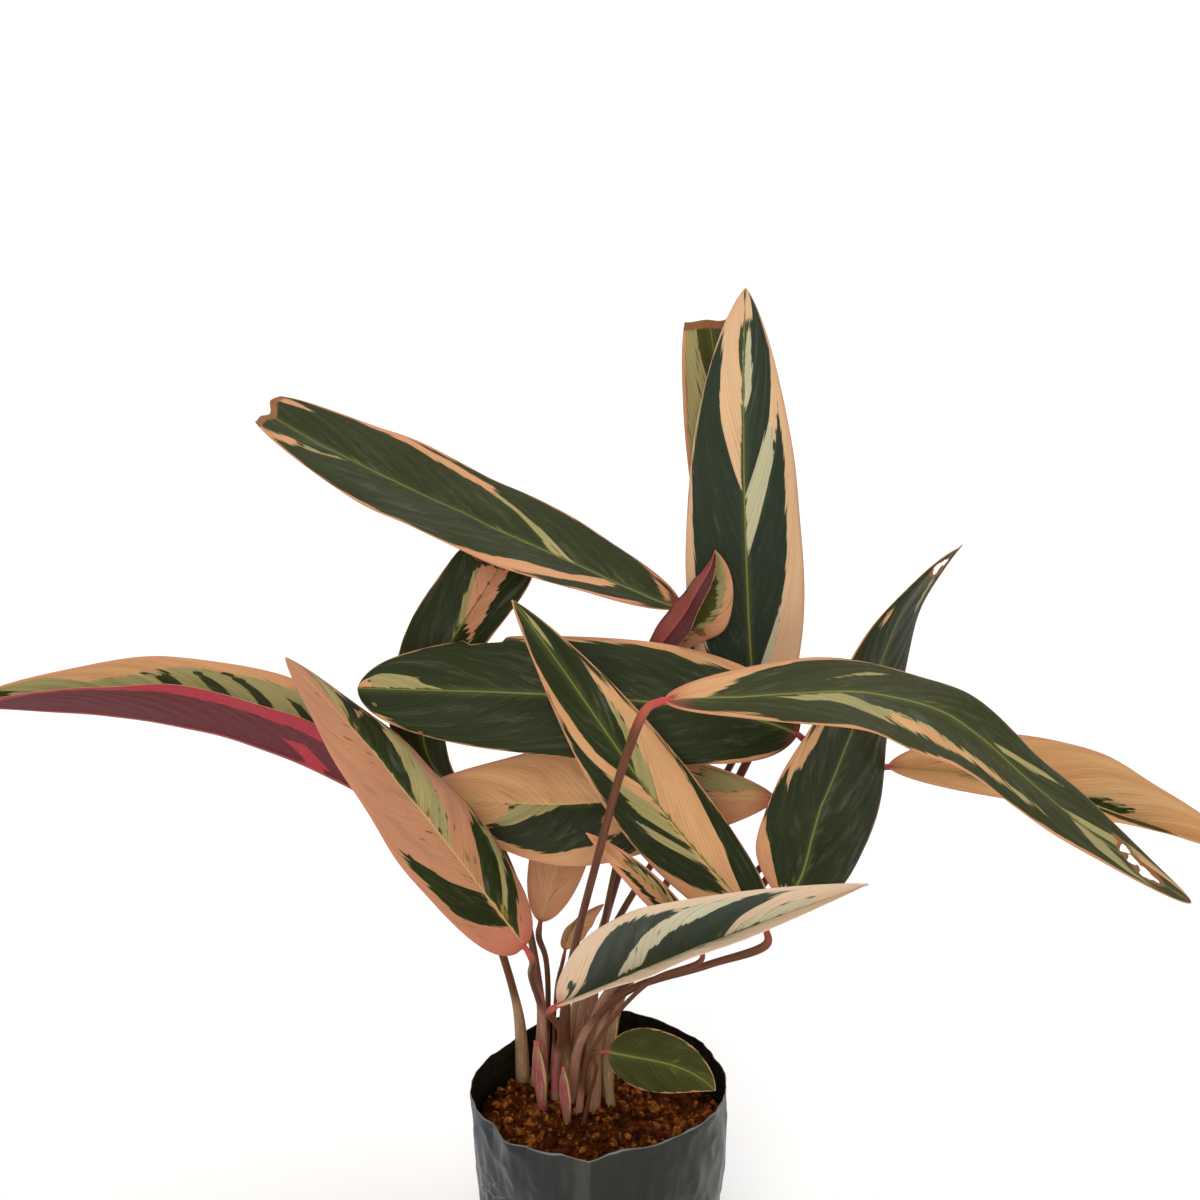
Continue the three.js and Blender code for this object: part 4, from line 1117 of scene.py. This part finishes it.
def film_outside():
    s = Shader("film_outside", 0.25)
    place_at = s.place()
    down, off_crease, right = s.attribute("film")

    def turned(angles, scale):
        return s.node("Mapping", {0: place_at, 2: angles, 3: scale})

    smear = s.noise(turned((0.0, 0.9, 0.0), (40.0, 40.0, 7.0)), 1.0, 5.0, 0.65)
    cloud = s.noise(place_at, 22.0, 4.0, 0.6)
    cracks = s.node("TexVoronoi", {"Vector": turned((0.3, 0.5, 0.4), (1.0, 1.0, 3.0)),
                                   "Scale": 70.0}, feature="DISTANCE_TO_EDGE")
    scratch = cracks.step(0.035, 0.012) * s.noise(place_at, 30.0, 2.0).step(0.6, 0.66)
    base = s.layers(
        s.mix(cloud, (18, 21, 23), (34, 36, 36)),
        (smear.step(0.45, 0.75, 0.5), (76, 76, 68)),
        # painted reflection: bluish patches, as of a pale sky mirrored in the black film
        (cloud.step(0.52, 0.7, 0.5), (48, 62, 84)),
        # painted shade: the panel past the crease is laid over with a darker, olive black
        (right * 0.85, s.mix(smear, (16, 16, 10), (36, 36, 27))),
        (scratch * 0.45, (150, 154, 154)),
        # painted highlight: a thin light line just under the rim
        (down.step(0.8, 0.2) * 0.5, (140, 142, 136)),
        # painted highlight: a thin light line along the crease
        (off_crease.step(0.6, 0.2, 0.18), (140, 142, 138)))
    return s.finish(base, smear.step(0.3, 0.7, 0.5, 0.28), cloud + smear * 0.5, 0.35, 0.001)


def film_inside():
    s = Shader("film_inside", 0.15)
    cloud = s.noise(s.place(), 40.0, 4.0, 0.6)
    dust = s.noise(s.place(), 160.0, 3.0).step(0.55, 0.75, 0.4)
    base = s.layers(s.mix(cloud, (20, 20, 16), (36, 36, 27)), (dust, (80, 56, 34)))
    return s.finish(base, 0.5, cloud, 0.3, 0.001)


def soil_skin():
    s = Shader("soil_skin", 0.05)
    place_at = s.place()
    shade = s.node("Attribute", {}, output=2, attribute_name="shade")
    grain = s.noise(place_at, 900.0, 4.0, 0.65)
    crumb = s.noise(place_at, 260.0, 3.0, 0.6)
    patch = s.noise(place_at, 40.0, 3.0)
    tone = crumb * 1.2 + patch * 0.5 + shade * 0.22
    base = s.node("ValToRGB", {0: tone.step(0.5, 1.3)})
    ramp = base.socket.node.color_ramp
    ramp.elements[0].position, ramp.elements[0].color = 0.0, colour(38, 15, 5)
    ramp.elements[1].position, ramp.elements[1].color = 1.0, colour(182, 112, 48)
    ramp.elements.new(0.5).color = colour(88, 42, 14)
    return s.finish(base, 0.95, grain + crumb * 1.5, 0.8, 0.0008)


# ---- the plant ----

# How far up each stalk its sheath reaches, how pink the sheath is and how red the neck is.
PLAIN_STALK = {"sheath_end": 0.42, "pink": 0.45, "neck_red": 0.4}
STALK_LOOKS = {
    "pale_left": dict(sheath_end=0.6, pink=1.0, neck_red=0.9),
    "long_right": dict(sheath_end=0.2, pink=0.25, neck_red=1.0),
    "front_pale": dict(sheath_end=0.55, pink=1.0, neck_red=0.9),
    "small_low": dict(sheath_end=0.15, pink=0.7, neck_red=0.6),
    "young_rolled": dict(sheath_end=0.25),
    "back_left": dict(pink=0.9),
    "far_left": dict(pink=0.15),
    "low_back": dict(pink=0.9),
}

beneath = lower_face()
blade_faces = [upper_face("blade_upper", 0.1), beneath]
glossy_faces = [upper_face("blade_upper_glossy", 0.45), beneath]
skin = stalk_skin()
for number, (name, leaf) in enumerate(LEAVES.items(), 1):
    make_blade(name, leaf, {**PLAIN_MARKS, **MARKINGS[name]}, number,
               glossy_faces if name == "front_pale" else blade_faces)
    looks = {**PLAIN_STALK, **STALK_LOOKS.get(name, {})}
    make_stalk(f"petiole_{name}", leaf, number, skin, looks, "stalk", f"stalk_{name}")
for number, (name, leaf) in enumerate(SHEATHS.items(), 31):
    looks = {"sheath_end": 1.1, "pink": 0.1 if name == "tan" else 1.0, "neck_red": 0.5}
    make_stalk(f"dry_sheath_{name}", leaf, number, skin, looks, "sheath", f"sheath_{name}")
make_bag(film_outside(), film_inside())
make_soil(soil_skin())


# ---- stage, light and camera ----

STAGE = {"half_width": 4000, "front": -3000, "bend": 1200, "bend_radius": 900, "top": 4000}
SKY = {"colour": (1.0, 0.985, 0.94, 1), "strength": 0.33}
# Each light's name, place, size, power, tint and the point that it is aimed at.
LIGHTS = [("key", (-0.35, -1.9, 1.2), 1.5, 33, (1, 0.98, 0.93), (0, 0.03, 0.28)),
          ("side", (1.6, -0.9, 1.0), 1.6, 7, (0.97, 0.98, 1), (0, 0.03, 0.28)),
          ("backdrop", (0, 0.9, 2.2), 2.5, 45, (1, 1, 1), (0, 2.1, 0.6))]
CAMERA = {"place": (0, -0.7, 0.616), "lens": 45, "sensor": 36, "degrees_down": 17}


def pale_ground():
    s = Shader("pale_ground")
    cloud = s.noise(s.place(), 3.0)
    return s.finish(s.mix(cloud, (0.88, 0.88, 0.88, 1), (0.9, 0.9, 0.9, 1)), 0.9)


def make_stage():
    """A floor that sweeps up into a backdrop behind the plant."""
    bend, radius = STAGE["bend"], STAGE["bend_radius"]
    profile = [(STAGE["front"], 0), (bend, 0)]
    profile += [(bend + radius * math.sin(a), radius - radius * math.cos(a))
                for a in np.linspace(0.1, math.pi / 2, 16)]
    profile.append((bend + radius, STAGE["top"]))
    points = [(x, y, z) for y, z in profile for x in (-STAGE["half_width"], STAGE["half_width"])]
    faces = [(k, k + 1, k + 3, k + 2) for k in range(0, len(points) - 2, 2)]
    add_mesh("ground", points, faces, [pale_ground()])


def add_light(name, place_at, size, power, tint, aim):
    light = bpy.data.lights.new(name, "AREA")
    light.size, light.energy, light.color = size, power, tint
    lamp = bpy.data.objects.new(name, light)
    lamp.location = place_at
    direction = Vector(aim) - lamp.location
    lamp.rotation_euler = direction.to_track_quat("-Z", "Y").to_euler()
    bpy.context.scene.collection.objects.link(lamp)


def add_camera():
    data = bpy.data.cameras.new("camera")
    data.lens, data.sensor_width = CAMERA["lens"], CAMERA["sensor"]
    camera = bpy.data.objects.new("camera", data)
    camera.location = CAMERA["place"]
    camera.rotation_euler = (math.radians(90 - CAMERA["degrees_down"]), 0, 0)
    bpy.context.scene.collection.objects.link(camera)
    bpy.context.scene.camera = camera


world = bpy.data.worlds.new("studio")
world.use_nodes = True
world.node_tree.nodes["Background"].inputs[0].default_value = SKY["colour"]
world.node_tree.nodes["Background"].inputs[1].default_value = SKY["strength"]
bpy.context.scene.world = world
bpy.context.scene.view_settings.view_transform = "Standard"
make_stage()
for light in LIGHTS:
    add_light(*light)
add_camera()
